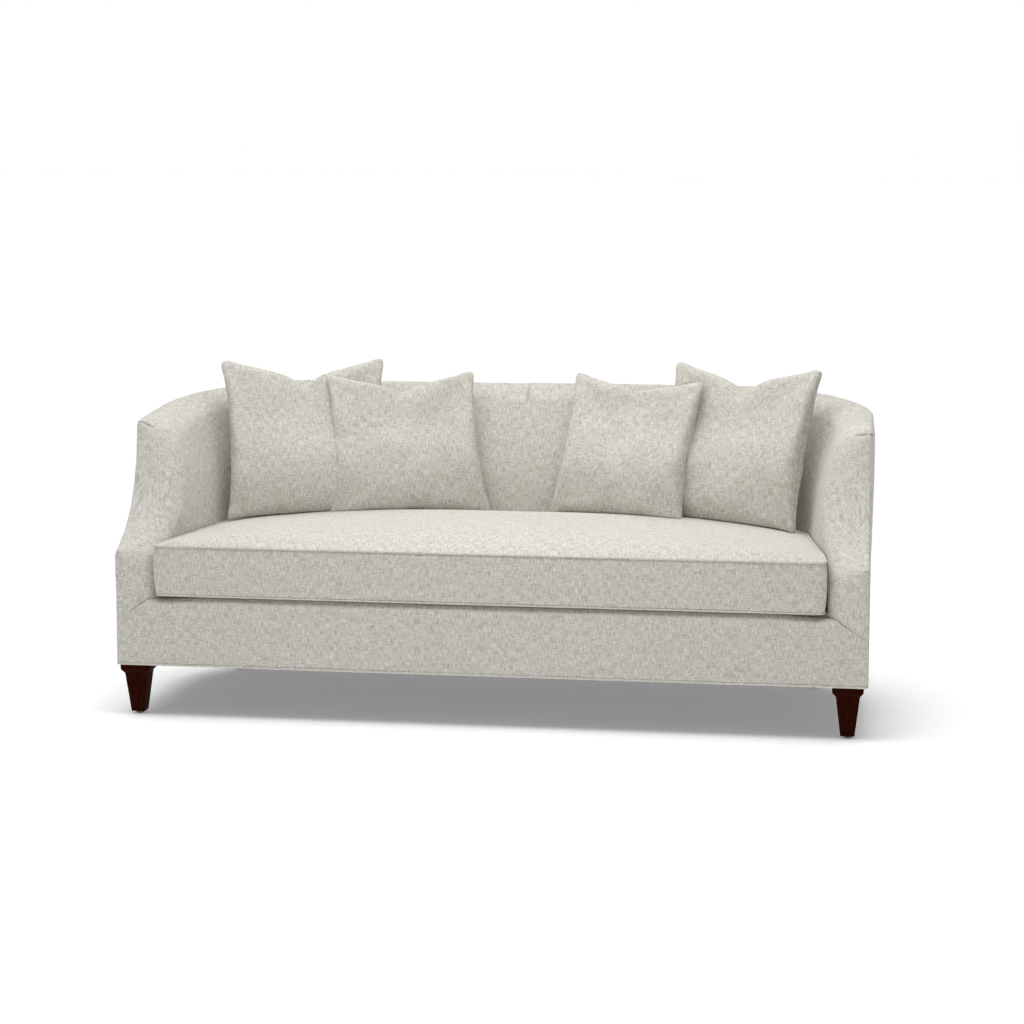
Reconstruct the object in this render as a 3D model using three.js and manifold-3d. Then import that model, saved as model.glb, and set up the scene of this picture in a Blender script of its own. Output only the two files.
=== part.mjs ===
// Shelter-back sofa: a hardwood frame with sinuous seat springs, padded and covered in one
// continuous sweep of arms, rounded rear corners and back, a loose bench seat cushion,
// four knife-edge throw pillows, and tapered square legs on nail glides.
// Millimetres, +X to the right seen from the front, +Y to the back, +Z up.
// The origin is on the floor under the middle of the sofa.

import * as THREE from 'three';
import { mergeVertices } from 'three/addons/utils/BufferGeometryUtils.js';
import Module from 'manifold-3d';

const wasm = await Module();
wasm.setup();

// Overall sizes
const OVERALL_WIDTH = 2134;
const OVERALL_DEPTH = 864;
const BACK_HEIGHT = 888;
const ARM_HEIGHT = 838;
const LEG_HEIGHT = 147;
const GAP = 0.3;
const OVERRUN = 5;

// Plan of the outer line: a toed-in arm, a round rear corner over the rest of the depth, a straight back
const ARM_TOE_ANGLE = 1.6;
const ARM_DEPTH = 458;

// Side profile of the arm: an upright front, a swept S and a top that climbs to the back
const ARM_FRONT_HEIGHT = 465;
const SWEEP_DEPTH = 220;
const SWEEP_SHARES = [[0, 0], [0.68, 0.174], [0.955, 0.469], [1, 1]];

// Thickness of the upholstered wall, inward of the outer line
const ARM_FRONT_THICKNESS = 112;
const SEAT_THICKNESS = 174;
const THICKENING_RUN = 560;
const ARM_TOP_THICKNESS = 104;
const BACK_TOP_THICKNESS = 72;
const ROLL_DROP = 54;
const LINING_THICKNESS = 55;
const TOP_PADDING = 30;

// Outside panels
const PANEL_THICKNESS = 5;
const PANEL_TOP_INSET = 6;

// Front border: the padded panel over the front rail, rolled over the rail's top edge
const BORDER_THICKNESS = 18;
const BORDER_ROLL = 28;
const BORDER_REACH = 45;
const BORDER_HEIGHT = 345;
const BORDER_WRAP = 19.5;
const SEAM_OUTER_HEIGHT = 276;
const SEAM_INNER_HEIGHT = 335;

// Hardwood frame
const FRAME_INSET = 8;
const RAIL_THICKNESS = 38;
const POST_THICKNESS = 30;
const POST_WIDTH = 75;
const POST_TAIL = 4.5;
const TOP_RAIL_HEIGHT = 45;
const UPRIGHT_WIDTH = 50;
const UPRIGHT_MARGIN = 6;
const SIDE_RAIL_TOP = 330;
const STRETCHER_WIDTH = 32;
const STRETCHER_HEIGHT = 60;
const STRETCHER_RISE = 40;
const STRETCHER_OFFSET = 330;
const FRONT_BLOCK_LEG = 105;
const BLOCK_HEIGHT = 40;
const REAR_BLOCK_ANGLE = 35;

// Seat: sinuous springs under a padded deck
const DECK_THICKNESS = 17.7;
const SPRING_COUNT = 7;
const SPRING_MARGIN = 39;
const SPRING_SWING = 24;
const SPRING_WIRE_RADIUS = 2;
const SPRING_ARCH = 12;
const SPRING_HALF_LOOPS = 16;

// Legs and their fixings
const FRONT_LEG_SIDE_INSET = 54;
const FRONT_LEG_SETBACK = 45;
const REAR_LEG_INSET = 68;
const LEG_CAP_WIDTH = 86;
const LEG_CAP_HEIGHT = 20;
const LEG_CAP_CHAMFER = 6;
const LEG_TOP_WIDTH = 66;
const LEG_FOOT_WIDTH = 39;
const BOLT_RADIUS = 4;
const BOLT_DEPTH = 40;
const BOLT_RISE = 34;
const DUST_COVER_THICKNESS = 2;
const GLIDE_RADIUS = 10.7;
const GLIDE_EDGE = 1.4;
const GLIDE_HEIGHT = 7;
const NAIL_RADIUS = 1.5;
const NAIL_LENGTH = 18;

// Loose seat cushion
const CUSHION_HEIGHT = 146;
const CUSHION_CROWN = 24;
const CUSHION_CLEARANCE = 2.5;
const CUSHION_SETBACK = 1;
const CUSHION_BULGE = 5;
const CUSHION_CORNER = 22;
const CROWN_SHARES = [0.97, 0.92, 0.84, 0.7, 0.5, 0.25];
const CUSHION_EDGE_SHARES = [0.75, 0.5, 0.25];
const CROWN_POWER = 3.5;

// Throw pillows: half sizes at the corner tips, place of the middle of the bottom edge inward
// of the sofa's side and forward of its back
const REAR_PILLOW = {
  halfWidth: 241, halfHeight: 238, halfThickness: 52, drawIn: 17, dip: 26,
  sideInset: 422, setback: 325, yaw: 23, lean: 16, roll: 0,
};
const FRONT_PILLOW = {
  halfWidth: 216, halfHeight: 210, halfThickness: 48, drawIn: 16, dip: 5,
  sideInset: 731, setback: 306, yaw: 14, lean: 16, roll: 2,
};
const PILLOW_EDGE_POWER = 0.62;
const PILLOW_DIP_WIDTH_SHARE = 0.3;

// Facets
const ROLL_STEPS = 6;
const FRONT_ROW_COUNT = 2;
const SWEEP_STEPS = 12;
const ARM_TOP_STEPS = 5;
const TOP_RAIL_STEPS = 2;
const CORNER_STEPS = 12;
const CUSHION_CORNER_STEPS = 3;
const PILLOW_STEPS = 14;
const ROUND_STEPS = 12;
const WIRE_SIDES = 4;
const WIRE_LOOP_STEPS = 4;
const ROOT_PASSES = 40;

// Sizes worked out from the ones above
const toe = THREE.MathUtils.degToRad(ARM_TOE_ANGLE);
const halfWidth = OVERALL_WIDTH / 2;
const cornerRadius = OVERALL_DEPTH - ARM_DEPTH;
const armRun = (ARM_DEPTH + cornerRadius * Math.sin(toe)) / Math.cos(toe);
const cornerRun = cornerRadius * (Math.PI / 2 - toe);
const backRun = armRun + cornerRun;
const cornerX = halfWidth - armRun * Math.sin(toe) - cornerRadius * Math.cos(toe);
const cornerY = ARM_DEPTH;
const coverBottom = LEG_HEIGHT + GAP;
const railBottom = coverBottom + DUST_COVER_THICKNESS + GAP;
const frontRailTop = BORDER_HEIGHT - BORDER_WRAP - GAP;
const frontRailBack = BORDER_THICKNESS + GAP + RAIL_THICKNESS;
const deckBottom = SIDE_RAIL_TOP + GAP;
const deckTop = deckBottom + DECK_THICKNESS;
const seatLevel = deckTop + GAP + CUSHION_HEIGHT;
const railInner = FRAME_INSET + RAIL_THICKNESS;
const postInner = FRAME_INSET + POST_THICKNESS;
const frameTopInset = TOP_PADDING + GAP;
const postBackInset = frameTopInset + POST_WIDTH;
const postEnd = SWEEP_DEPTH + postBackInset + POST_TAIL;

// Colours of the materials
const fabric = () => new THREE.MeshStandardMaterial({ color: '#bdb8ac', roughness: 0.95, metalness: 0 });
const hardwood = () => new THREE.MeshStandardMaterial({ color: '#c4a277', roughness: 0.7, metalness: 0 });
const mahogany = () => new THREE.MeshStandardMaterial({ color: '#2b0f0a', roughness: 0.35, metalness: 0 });
const steel = () => new THREE.MeshStandardMaterial({ color: '#8b8e92', roughness: 0.4, metalness: 0.9 });
const lining = () => new THREE.MeshStandardMaterial({ color: '#1d1d1f', roughness: 0.95, metalness: 0 });
const deckCloth = () => new THREE.MeshStandardMaterial({ color: '#a9a59b', roughness: 0.95, metalness: 0 });

const sofa = new THREE.Group();
const pieces = new THREE.Group();
pieces.position.y = -OVERALL_DEPTH / 2;
sofa.add(pieces);

function addPiece(name, geometry, material) {
  const piece = new THREE.Mesh(geometry, material);
  piece.name = name;
  pieces.add(piece);
}

// Shared mathematics

const lerp = THREE.MathUtils.lerp;

function eased(share) {
  const held = THREE.MathUtils.clamp(share, 0, 1);
  return held * held * (3 - 2 * held);
}

function rootOf(rises) {
  let low = 0;
  let high = 1;
  for (let pass = 0; pass < ROOT_PASSES; pass++) {
    const middle = (low + high) / 2;
    if (rises(middle) < 0) low = middle;
    else high = middle;
  }
  return high;
}

// The plan line: a point at a run along the outer line, moved inward by a distance

function planPoint(run, inward) {
  if (run <= armRun) {
    return new THREE.Vector2(
      halfWidth - run * Math.sin(toe) - inward * Math.cos(toe),
      run * Math.cos(toe) - inward * Math.sin(toe),
    );
  }
  if (run <= backRun) {
    const angle = toe + (run - armRun) / cornerRadius;
    return new THREE.Vector2(
      cornerX + (cornerRadius - inward) * Math.cos(angle),
      cornerY + (cornerRadius - inward) * Math.sin(angle),
    );
  }
  return new THREE.Vector2(cornerX - (run - backRun), OVERALL_DEPTH - inward);
}

function place(run, height, inward) {
  const point = planPoint(run, inward);
  return new THREE.Vector3(point.x, point.y, height);
}

// The side profile: the upright front, the swept S and the climbing top, each moved inward

function topHeight(run) {
  return lerp(ARM_HEIGHT, BACK_HEIGHT, eased((run - SWEEP_DEPTH) / (backRun - SWEEP_DEPTH)));
}

const sweep = new THREE.CubicBezierCurve(...SWEEP_SHARES.map(([alongShare, upShare]) => new THREE.Vector2(
  alongShare * SWEEP_DEPTH,
  lerp(ARM_FRONT_HEIGHT, ARM_HEIGHT, upShare),
)));

function sweepPoint(share, inset) {
  const point = sweep.getPoint(share);
  const direction = sweep.getTangent(share);
  return new THREE.Vector2(point.x + inset * direction.y, point.y - inset * direction.x);
}

function armOutline(inset, bottom, end, topSteps) {
  const first = rootOf((share) => sweepPoint(share, inset).x - inset);
  const last = rootOf((share) => {
    const point = sweepPoint(share, inset);
    return point.y - topHeight(point.x) + inset;
  });
  const elbow = sweepPoint(first, inset);
  const shoulder = sweepPoint(last, inset);
  const outline = [];
  for (let row = 0; row < FRONT_ROW_COUNT; row++) {
    outline.push(new THREE.Vector2(inset, lerp(bottom, elbow.y, row / FRONT_ROW_COUNT)));
  }
  for (let step = 0; step <= SWEEP_STEPS; step++) {
    outline.push(sweepPoint(lerp(first, last, step / SWEEP_STEPS), inset));
  }
  for (let step = 1; step <= topSteps; step++) {
    const run = lerp(shoulder.x, end, step / topSteps);
    outline.push(new THREE.Vector2(run, topHeight(run) - inset));
  }
  return outline;
}

// The inner face of the upholstered wall and the back of its lining

function seatThickness(run) {
  return lerp(ARM_FRONT_THICKNESS, SEAT_THICKNESS, eased(run / THICKENING_RUN));
}

function leanShare(run, height) {
  const reach = topHeight(run) - ROLL_DROP - seatLevel;
  return THREE.MathUtils.clamp((height - seatLevel) / reach, 0, 1);
}

function innerFace(run, height) {
  const top = lerp(ARM_TOP_THICKNESS, BACK_TOP_THICKNESS, eased((run - armRun) / cornerRun));
  return lerp(seatThickness(run), top, leanShare(run, height));
}

function liningBack(run, height) {
  return lerp(seatThickness(run) - LINING_THICKNESS, postInner + GAP, leanShare(run, height));
}

// Closed meshes from points and faces

function meshOf(points, faces) {
  const geometry = new THREE.BufferGeometry();
  geometry.setAttribute('position', new THREE.Float32BufferAttribute(points.flatMap((p) => p.toArray()), 3));
  geometry.setIndex(faces.flat());
  return geometry;
}

function quad(faces, a, b, c, d) {
  faces.push([a, b, c], [a, c, d]);
}

function loft(sections) {
  const count = sections[0].length;
  const faces = [];
  const at = (section, corner) => section * count + (corner % count);
  for (let section = 0; section < sections.length - 1; section++) {
    for (let corner = 0; corner < count; corner++) {
      quad(faces, at(section, corner), at(section + 1, corner),
        at(section + 1, corner + 1), at(section, corner + 1));
    }
  }
  const end = sections.length - 1;
  for (let corner = 0; corner < count - 2; corner++) {
    faces.push([at(0, count - 1), at(0, corner), at(0, corner + 1)]);
    faces.push([at(end, count - 1), at(end, corner + 1), at(end, corner)]);
  }
  return meshOf(sections.flat(), faces);
}

function solidOf(geometry) {
  const bare = geometry.clone();
  bare.deleteAttribute('normal');
  bare.deleteAttribute('uv');
  const welded = mergeVertices(bare);
  return new wasm.Manifold(new wasm.Mesh({
    numProp: 3,
    vertProperties: new Float32Array(welded.attributes.position.array),
    triVerts: new Uint32Array(welded.index.array),
  }));
}

function geometryOf(solid) {
  const mesh = solid.getMesh();
  const geometry = new THREE.BufferGeometry();
  geometry.setAttribute('position', new THREE.BufferAttribute(new Float32Array(mesh.vertProperties), 3));
  geometry.setIndex(new THREE.BufferAttribute(new Uint32Array(mesh.triVerts), 1));
  return geometry;
}

function cut(geometry, ...tools) {
  let solid = solidOf(geometry);
  for (const tool of tools) solid = solid.subtract(solidOf(tool));
  return geometryOf(solid);
}

function mirrored(geometry) {
  const copy = geometry.index ? geometry.clone() : mergeVertices(geometry.clone());
  copy.scale(-1, 1, 1);
  const index = Array.from(copy.index.array);
  const turned = [];
  for (let corner = 0; corner < index.length; corner += 3) {
    turned.push(index[corner], index[corner + 2], index[corner + 1]);
  }
  copy.setIndex(turned);
  return copy;
}

function block(x0, x1, y0, y1, z0, z1) {
  const geometry = new THREE.BoxGeometry(x1 - x0, y1 - y0, z1 - z0);
  geometry.translate((x0 + x1) / 2, (y0 + y1) / 2, (z0 + z1) / 2);
  return geometry;
}

function shapeOf(points) {
  return new THREE.Shape(points.map((p) => (p.isVector2 ? p : new THREE.Vector2(p[0], p[1]))));
}

function slab(shape, z0, z1) {
  const geometry = new THREE.ExtrudeGeometry(shape, { depth: z1 - z0, bevelEnabled: false });
  geometry.translate(0, 0, z0);
  return geometry;
}

function prismAlongY(points, y0, y1) {
  const geometry = new THREE.ExtrudeGeometry(shapeOf(points), { depth: y1 - y0, bevelEnabled: false });
  geometry.rotateX(Math.PI / 2);
  geometry.translate(0, y1, 0);
  return geometry;
}

function rod(x, y, radius, z0, z1) {
  const geometry = new THREE.CylinderGeometry(radius, radius, z1 - z0, ROUND_STEPS);
  geometry.rotateX(Math.PI / 2);
  geometry.translate(x, y, (z0 + z1) / 2);
  return geometry;
}

// Walls that follow the plan line. Rings run from the outer edge, over the roll, to the inner face.

const rollRings = Array.from({ length: ROLL_STEPS + 1 }, (_, step) => {
  const angle = (step / ROLL_STEPS) * (Math.PI / 2);
  return { inset: ROLL_DROP * (1 - Math.cos(angle)), faceShare: Math.sin(angle) };
});

function flatRings(inset) {
  return [{ inset, faceShare: 0 }, { inset, faceShare: 1 }];
}

function middleHeight(bottom, top) {
  return Math.min(seatLevel, (bottom + top) / 2);
}

function armWall({ rings, face, outer, bottom, end, topSteps }) {
  const outlines = rings.map(({ inset }) => armOutline(inset, bottom, end, topSteps));
  const points = [];
  const faces = [];
  const stations = outlines[0].length;
  const ringCount = rings.length;
  const vertex = (run, height, share) => {
    points.push(place(run, height, lerp(outer, face(run, height), share)));
    return points.length - 1;
  };
  const grid = [];
  for (let station = 0; station < stations; station++) {
    grid.push(outlines.map((line, ring) => {
      const { x: run, y: height } = line[station];
      return vertex(run, height, rings[ring].faceShare);
    }));
  }
  const inner = outlines[ringCount - 1];
  for (let station = FRONT_ROW_COUNT; station < stations; station++) {
    const { x: run, y: top } = inner[station];
    const first = station === FRONT_ROW_COUNT;
    grid[station].push(first ? grid[1][ringCount - 1] : vertex(run, middleHeight(bottom, top), 1));
    grid[station].push(first ? grid[0][ringCount - 1] : vertex(run, bottom, 1));
    grid[station].push(vertex(run, bottom, 0));
  }
  for (let station = 0; station < stations - 1; station++) {
    const lower = grid[station];
    const upper = grid[station + 1];
    for (let ring = 0; ring < ringCount - 1; ring++) {
      quad(faces, lower[ring], upper[ring], upper[ring + 1], lower[ring + 1]);
    }
    if (station < FRONT_ROW_COUNT) continue;
    for (let row = ringCount - 1; row < lower.length; row++) {
      const next = (row + 1) % lower.length;
      quad(faces, lower[row], upper[row], upper[next], lower[next]);
    }
  }
  const heel = grid[FRONT_ROW_COUNT][ringCount + 2];
  for (let row = 0; row < FRONT_ROW_COUNT; row++) faces.push([grid[row][0], heel, grid[row + 1][0]]);
  for (let ring = 0; ring < ringCount - 1; ring++) faces.push([heel, grid[0][ring], grid[0][ring + 1]]);
  const last = grid[stations - 1];
  const corner = last[last.length - 1];
  for (let row = 0; row < last.length - 2; row++) faces.push([corner, last[row + 1], last[row]]);
  return meshOf(points, faces);
}

function wallSection(run, { rings, face, outer, bottom }) {
  const top = topHeight(run);
  const section = rings.map(({ inset, faceShare }) => (
    place(run, top - inset, lerp(outer, face(run, top - inset), faceShare))
  ));
  const middle = middleHeight(bottom, top - rings[rings.length - 1].inset);
  section.push(place(run, middle, face(run, middle)));
  section.push(place(run, bottom, face(run, bottom)));
  section.push(place(run, bottom, outer));
  return section;
}

function cornerWall(from, to, options) {
  const sections = [];
  for (let step = 0; step <= CORNER_STEPS; step++) {
    sections.push(wallSection(lerp(from, to, step / CORNER_STEPS), options));
  }
  return loft(sections);
}

function backWall(shortening, options) {
  const right = wallSection(backRun, options).map((p) => p.setX(p.x - shortening));
  const left = right.map((p) => new THREE.Vector3(-p.x, p.y, p.z));
  return loft([right, left]);
}

// A bar of rectangular section that follows the plan line

function bar(from, to, steps, outer, inner, low, high) {
  const sections = [];
  for (let step = 0; step <= steps; step++) {
    const run = lerp(from, to, step / steps);
    sections.push([
      place(run, high(run), outer),
      place(run, high(run), inner),
      place(run, low(run), inner),
      place(run, low(run), outer),
    ]);
  }
  return loft(sections);
}

// Frame

const frameTop = (run) => topHeight(run) - frameTopInset;
const topRailUnderside = (run) => frameTop(run) - TOP_RAIL_HEIGHT;
const uprightTop = (run) => topRailUnderside(run) - GAP;
const seatRailTop = () => SIDE_RAIL_TOP;
const seatRailBottom = () => railBottom;
const uprightBottom = () => SIDE_RAIL_TOP + GAP;

const cornerMiddle = planPoint(armRun + cornerRadius * (Math.PI / 4 - toe), REAR_LEG_INSET);
const frontLeg = { name: 'front', x: halfWidth - FRONT_LEG_SIDE_INSET, y: FRONT_LEG_SETBACK };
const rearLeg = { name: 'rear', x: cornerMiddle.x, y: cornerMiddle.y };
const legPlaces = [frontLeg, rearLeg];
const boltTop = railBottom + BOLT_RISE;
const boltBottom = LEG_HEIGHT - BOLT_DEPTH;

function boltHoles({ x, y }) {
  return [x, -x].map((side) => rod(side, y, BOLT_RADIUS + GAP, boltBottom - GAP, boltTop + GAP));
}

const frontRailEnd = planPoint(frontRailBack, postInner + GAP).x;
addPiece('front_seat_rail', cut(
  block(-frontRailEnd, frontRailEnd, BORDER_THICKNESS + GAP, frontRailBack, railBottom, frontRailTop),
  ...boltHoles(frontLeg),
), hardwood());

const backRailEnd = cornerX - GAP;
addPiece('back_seat_rail', block(-backRailEnd, backRailEnd, OVERALL_DEPTH - railInner,
  OVERALL_DEPTH - FRAME_INSET, railBottom, SIDE_RAIL_TOP), hardwood());

const sideRail = bar(postBackInset + GAP, armRun - GAP, 1, FRAME_INSET, railInner,
  seatRailBottom, seatRailTop);
const cornerRail = bar(armRun, backRun, CORNER_STEPS, FRAME_INSET, railInner,
  seatRailBottom, seatRailTop);

function frontPost() {
  const front = armOutline(frameTopInset, railBottom, postEnd, ARM_TOP_STEPS);
  const back = armOutline(postBackInset, railBottom, postEnd, ARM_TOP_STEPS);
  const shape = shapeOf([...front, ...back.reverse()]);
  const geometry = new THREE.ExtrudeGeometry(shape, { depth: POST_THICKNESS, bevelEnabled: false });
  const along = new THREE.Vector3(-Math.sin(toe), Math.cos(toe), 0);
  const outward = new THREE.Vector3(Math.cos(toe), Math.sin(toe), 0);
  geometry.applyMatrix4(new THREE.Matrix4().makeBasis(along, new THREE.Vector3(0, 0, 1), outward));
  const start = planPoint(0, postInner);
  geometry.translate(start.x, start.y, 0);
  return geometry;
}

const armTopRail = bar(postEnd + GAP, armRun - GAP, TOP_RAIL_STEPS, FRAME_INSET, postInner,
  topRailUnderside, frameTop);
const cornerTopRail = bar(armRun, backRun, CORNER_STEPS, FRAME_INSET, postInner,
  topRailUnderside, frameTop);
const armUpright = bar(armRun - UPRIGHT_MARGIN - UPRIGHT_WIDTH, armRun - UPRIGHT_MARGIN, 1,
  FRAME_INSET, postInner, uprightBottom, uprightTop);
const backUpright = bar(backRun + UPRIGHT_MARGIN, backRun + UPRIGHT_MARGIN + UPRIGHT_WIDTH, 1,
  FRAME_INSET, postInner, uprightBottom, uprightTop);

function frontCornerBlock() {
  const inner = planPoint(postBackInset + FRONT_BLOCK_LEG, railInner + GAP).x;
  const front = frontRailBack + GAP;
  return slab(shapeOf([
    [inner, front],
    [inner, front + FRONT_BLOCK_LEG],
    [inner - FRONT_BLOCK_LEG, front],
  ]), railBottom, railBottom + BLOCK_HEIGHT);
}

function rearCornerBlock() {
  const facetAngle = cornerRun / cornerRadius / CORNER_STEPS;
  const radius = (cornerRadius - railInner) * Math.cos(facetAngle / 2) - GAP;
  const spread = THREE.MathUtils.degToRad(REAR_BLOCK_ANGLE);
  const diagonal = Math.PI / 4;
  const shape = new THREE.Shape();
  shape.absarc(cornerX, cornerY, radius, diagonal - spread, diagonal + spread);
  return cut(
    new THREE.ExtrudeGeometry(shape, { depth: BLOCK_HEIGHT, bevelEnabled: false, curveSegments: ROUND_STEPS })
      .translate(0, 0, railBottom),
    boltHoles(rearLeg)[0],
  );
}

const pairs = [
  ['side_seat_rail', sideRail],
  ['corner_seat_rail', cornerRail],
  ['arm_front_post', frontPost()],
  ['arm_top_rail', armTopRail],
  ['corner_top_rail', cornerTopRail],
  ['arm_rear_upright', armUpright],
  ['back_upright', backUpright],
  ['front_corner_block', frontCornerBlock()],
  ['rear_corner_block', rearCornerBlock()],
];
for (const [name, geometry] of pairs) {
  addPiece(`${name}_right`, geometry, hardwood());
  addPiece(`${name}_left`, mirrored(geometry), hardwood());
}

addPiece('back_top_rail', block(-backRailEnd, backRailEnd, OVERALL_DEPTH - postInner,
  OVERALL_DEPTH - FRAME_INSET, topRailUnderside(backRun), frameTop(backRun)), hardwood());
addPiece('back_upright_centre', block(-UPRIGHT_WIDTH / 2, UPRIGHT_WIDTH / 2, OVERALL_DEPTH - postInner,
  OVERALL_DEPTH - FRAME_INSET, uprightBottom(), uprightTop(backRun)), hardwood());

const stretcher = block(STRETCHER_OFFSET - STRETCHER_WIDTH / 2, STRETCHER_OFFSET + STRETCHER_WIDTH / 2,
  frontRailBack + GAP, OVERALL_DEPTH - railInner - GAP,
  railBottom + STRETCHER_RISE, railBottom + STRETCHER_RISE + STRETCHER_HEIGHT);
addPiece('seat_stretcher_right', stretcher, hardwood());
addPiece('seat_stretcher_left', mirrored(stretcher), hardwood());

// Sinuous seat springs, from the front rail to the back rail, arched up under the deck

class SinuousWire extends THREE.Curve {
  constructor(x) {
    super();
    this.x = x;
  }

  getPoint(share, target = new THREE.Vector3()) {
    const crest = deckBottom - GAP - SPRING_WIRE_RADIUS;
    const endShare = eased(share * SPRING_HALF_LOOPS) * eased((1 - share) * SPRING_HALF_LOOPS);
    return target.set(
      this.x + SPRING_SWING * endShare * Math.sin(Math.PI * SPRING_HALF_LOOPS * share),
      lerp(frontRailBack + GAP, OVERALL_DEPTH - railInner - GAP, share),
      crest - SPRING_ARCH * (1 - Math.sin(Math.PI * share)),
    );
  }
}

function spring(x) {
  const section = shapeOf(Array.from({ length: WIRE_SIDES }, (_, corner) => {
    const angle = (corner / WIRE_SIDES) * Math.PI * 2;
    return [SPRING_WIRE_RADIUS * Math.cos(angle), SPRING_WIRE_RADIUS * Math.sin(angle)];
  }));
  return new THREE.ExtrudeGeometry(section, {
    steps: SPRING_HALF_LOOPS * WIRE_LOOP_STEPS,
    extrudePath: new SinuousWire(x),
  });
}

const outerSpring = cornerX - SPRING_MARGIN;
for (let count = 0; count < SPRING_COUNT; count++) {
  const x = lerp(-outerSpring, outerSpring, count / (SPRING_COUNT - 1));
  addPiece(`seat_spring_${count + 1}`, spring(x), steel());
}

// Deck and dust cover: sheets whose outline follows the plan line

function planOutline(inward, front) {
  const right = [];
  const first = planPoint(0, inward);
  right.push(new THREE.Vector2(first.x - (front - first.y) * Math.tan(toe), front));
  for (let step = 0; step <= CORNER_STEPS; step++) {
    right.push(planPoint(lerp(armRun, backRun, step / CORNER_STEPS), inward));
  }
  const left = right.map((p) => new THREE.Vector2(-p.x, p.y)).reverse();
  return shapeOf([...right, ...left]);
}

const deckOutline = planOutline(postInner + GAP, BORDER_REACH + GAP);
addPiece('seat_deck', slab(deckOutline, deckBottom, deckTop), deckCloth());

const dustCover = slab(planOutline(FRAME_INSET, BORDER_THICKNESS + GAP), coverBottom,
  coverBottom + DUST_COVER_THICKNESS);
addPiece('dust_cover', cut(dustCover, ...legPlaces.flatMap(boltHoles)), lining());

// Upholstery

const roundedWall = { rings: rollRings, face: innerFace, outer: 0 };
const hollow = { rings: flatRings(TOP_PADDING), face: liningBack, outer: -OVERRUN };
const panelSlot = {
  rings: flatRings(PANEL_TOP_INSET),
  face: () => PANEL_THICKNESS + GAP,
  outer: -OVERRUN,
  bottom: LEG_HEIGHT - OVERRUN,
};
const panel = {
  rings: flatRings(PANEL_TOP_INSET + GAP),
  face: () => PANEL_THICKNESS,
  outer: 0,
  bottom: coverBottom,
};
const padBottom = deckTop + GAP;
const wallSteps = ARM_TOP_STEPS + CORNER_STEPS;
const slotGeometry = armWall({ ...panelSlot, end: backRun + OVERRUN, topSteps: wallSteps });

const seamInnerX = planPoint(BORDER_REACH, seatThickness(BORDER_REACH) + GAP).x;
const seamSlope = (SEAM_INNER_HEIGHT - SEAM_OUTER_HEIGHT) / (halfWidth - seamInnerX);

function seamPrism(innerX, lift, far) {
  const outerX = halfWidth + OVERRUN;
  const seamHeight = (x) => SEAM_OUTER_HEIGHT + seamSlope * (halfWidth - x) + lift;
  const outline = [[outerX, seamHeight(outerX)], [innerX, seamHeight(innerX)], [innerX, far], [outerX, far]];
  return prismAlongY(outline, -OVERRUN, BORDER_REACH + ROLL_DROP);
}

function underArm(front, top) {
  return block(0, halfWidth + OVERRUN, front, OVERALL_DEPTH, LEG_HEIGHT - OVERRUN, top);
}

const armPad = cut(
  armWall({ ...roundedWall, bottom: LEG_HEIGHT, end: armRun - GAP / 2, topSteps: ARM_TOP_STEPS }),
  armWall({ ...hollow, bottom: LEG_HEIGHT - OVERRUN, end: armRun + OVERRUN, topSteps: ARM_TOP_STEPS }),
  slotGeometry,
  underArm(BORDER_THICKNESS, frontRailTop + GAP),
  underArm(BORDER_REACH, padBottom),
  seamPrism(seamInnerX - BORDER_REACH, GAP, LEG_HEIGHT - OVERRUN),
);
addPiece('inside_arm_right', armPad, fabric());
addPiece('inside_arm_left', mirrored(armPad), fabric());

const cornerPad = cut(
  cornerWall(armRun + GAP / 2, backRun - GAP / 2, { ...roundedWall, bottom: padBottom }),
  cornerWall(armRun - OVERRUN, backRun + OVERRUN, { ...hollow, bottom: padBottom - OVERRUN }),
  slotGeometry,
);
addPiece('inside_corner_right', cornerPad, fabric());
addPiece('inside_corner_left', mirrored(cornerPad), fabric());

addPiece('inside_back', cut(
  backWall(GAP / 2, { ...roundedWall, bottom: padBottom }),
  backWall(-OVERRUN, { ...hollow, bottom: padBottom - OVERRUN }),
  backWall(-OVERRUN, panelSlot),
), fabric());

const outsideArm = armWall({ ...panel, end: backRun - GAP / 2, topSteps: wallSteps });
addPiece('outside_arm_right', outsideArm, fabric());
addPiece('outside_arm_left', mirrored(outsideArm), fabric());
addPiece('outside_back', backWall(GAP / 2, panel), fabric());

function frontBorder() {
  const section = new THREE.Shape();
  section.moveTo(0, coverBottom);
  section.lineTo(0, BORDER_HEIGHT - BORDER_ROLL);
  section.absarc(BORDER_ROLL, BORDER_HEIGHT - BORDER_ROLL, BORDER_ROLL, Math.PI, Math.PI / 2, true);
  section.lineTo(BORDER_REACH, BORDER_HEIGHT);
  section.lineTo(BORDER_REACH, BORDER_HEIGHT - BORDER_WRAP);
  section.lineTo(BORDER_THICKNESS, BORDER_HEIGHT - BORDER_WRAP);
  section.lineTo(BORDER_THICKNESS, coverBottom);
  const geometry = new THREE.ExtrudeGeometry(section, {
    depth: OVERALL_WIDTH, bevelEnabled: false, curveSegments: ROLL_STEPS,
  });
  geometry.applyMatrix4(new THREE.Matrix4().makeBasis(
    new THREE.Vector3(0, 1, 0), new THREE.Vector3(0, 0, 1), new THREE.Vector3(1, 0, 0),
  ));
  geometry.translate(-halfWidth, 0, 0);
  const above = seamPrism(seamInnerX, 0, ARM_HEIGHT);
  return cut(geometry, above, mirrored(above), slotGeometry, mirrored(slotGeometry));
}
addPiece('front_border', frontBorder(), fabric());

// Legs with hanger bolts and nail glides

function squareProfile(rows) {
  const corner = Math.SQRT2 / 2;
  const points = rows.map(([width, height]) => new THREE.Vector2(width * corner, height));
  return new THREE.LatheGeometry(points, 4, Math.PI / 4).rotateX(Math.PI / 2);
}

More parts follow.
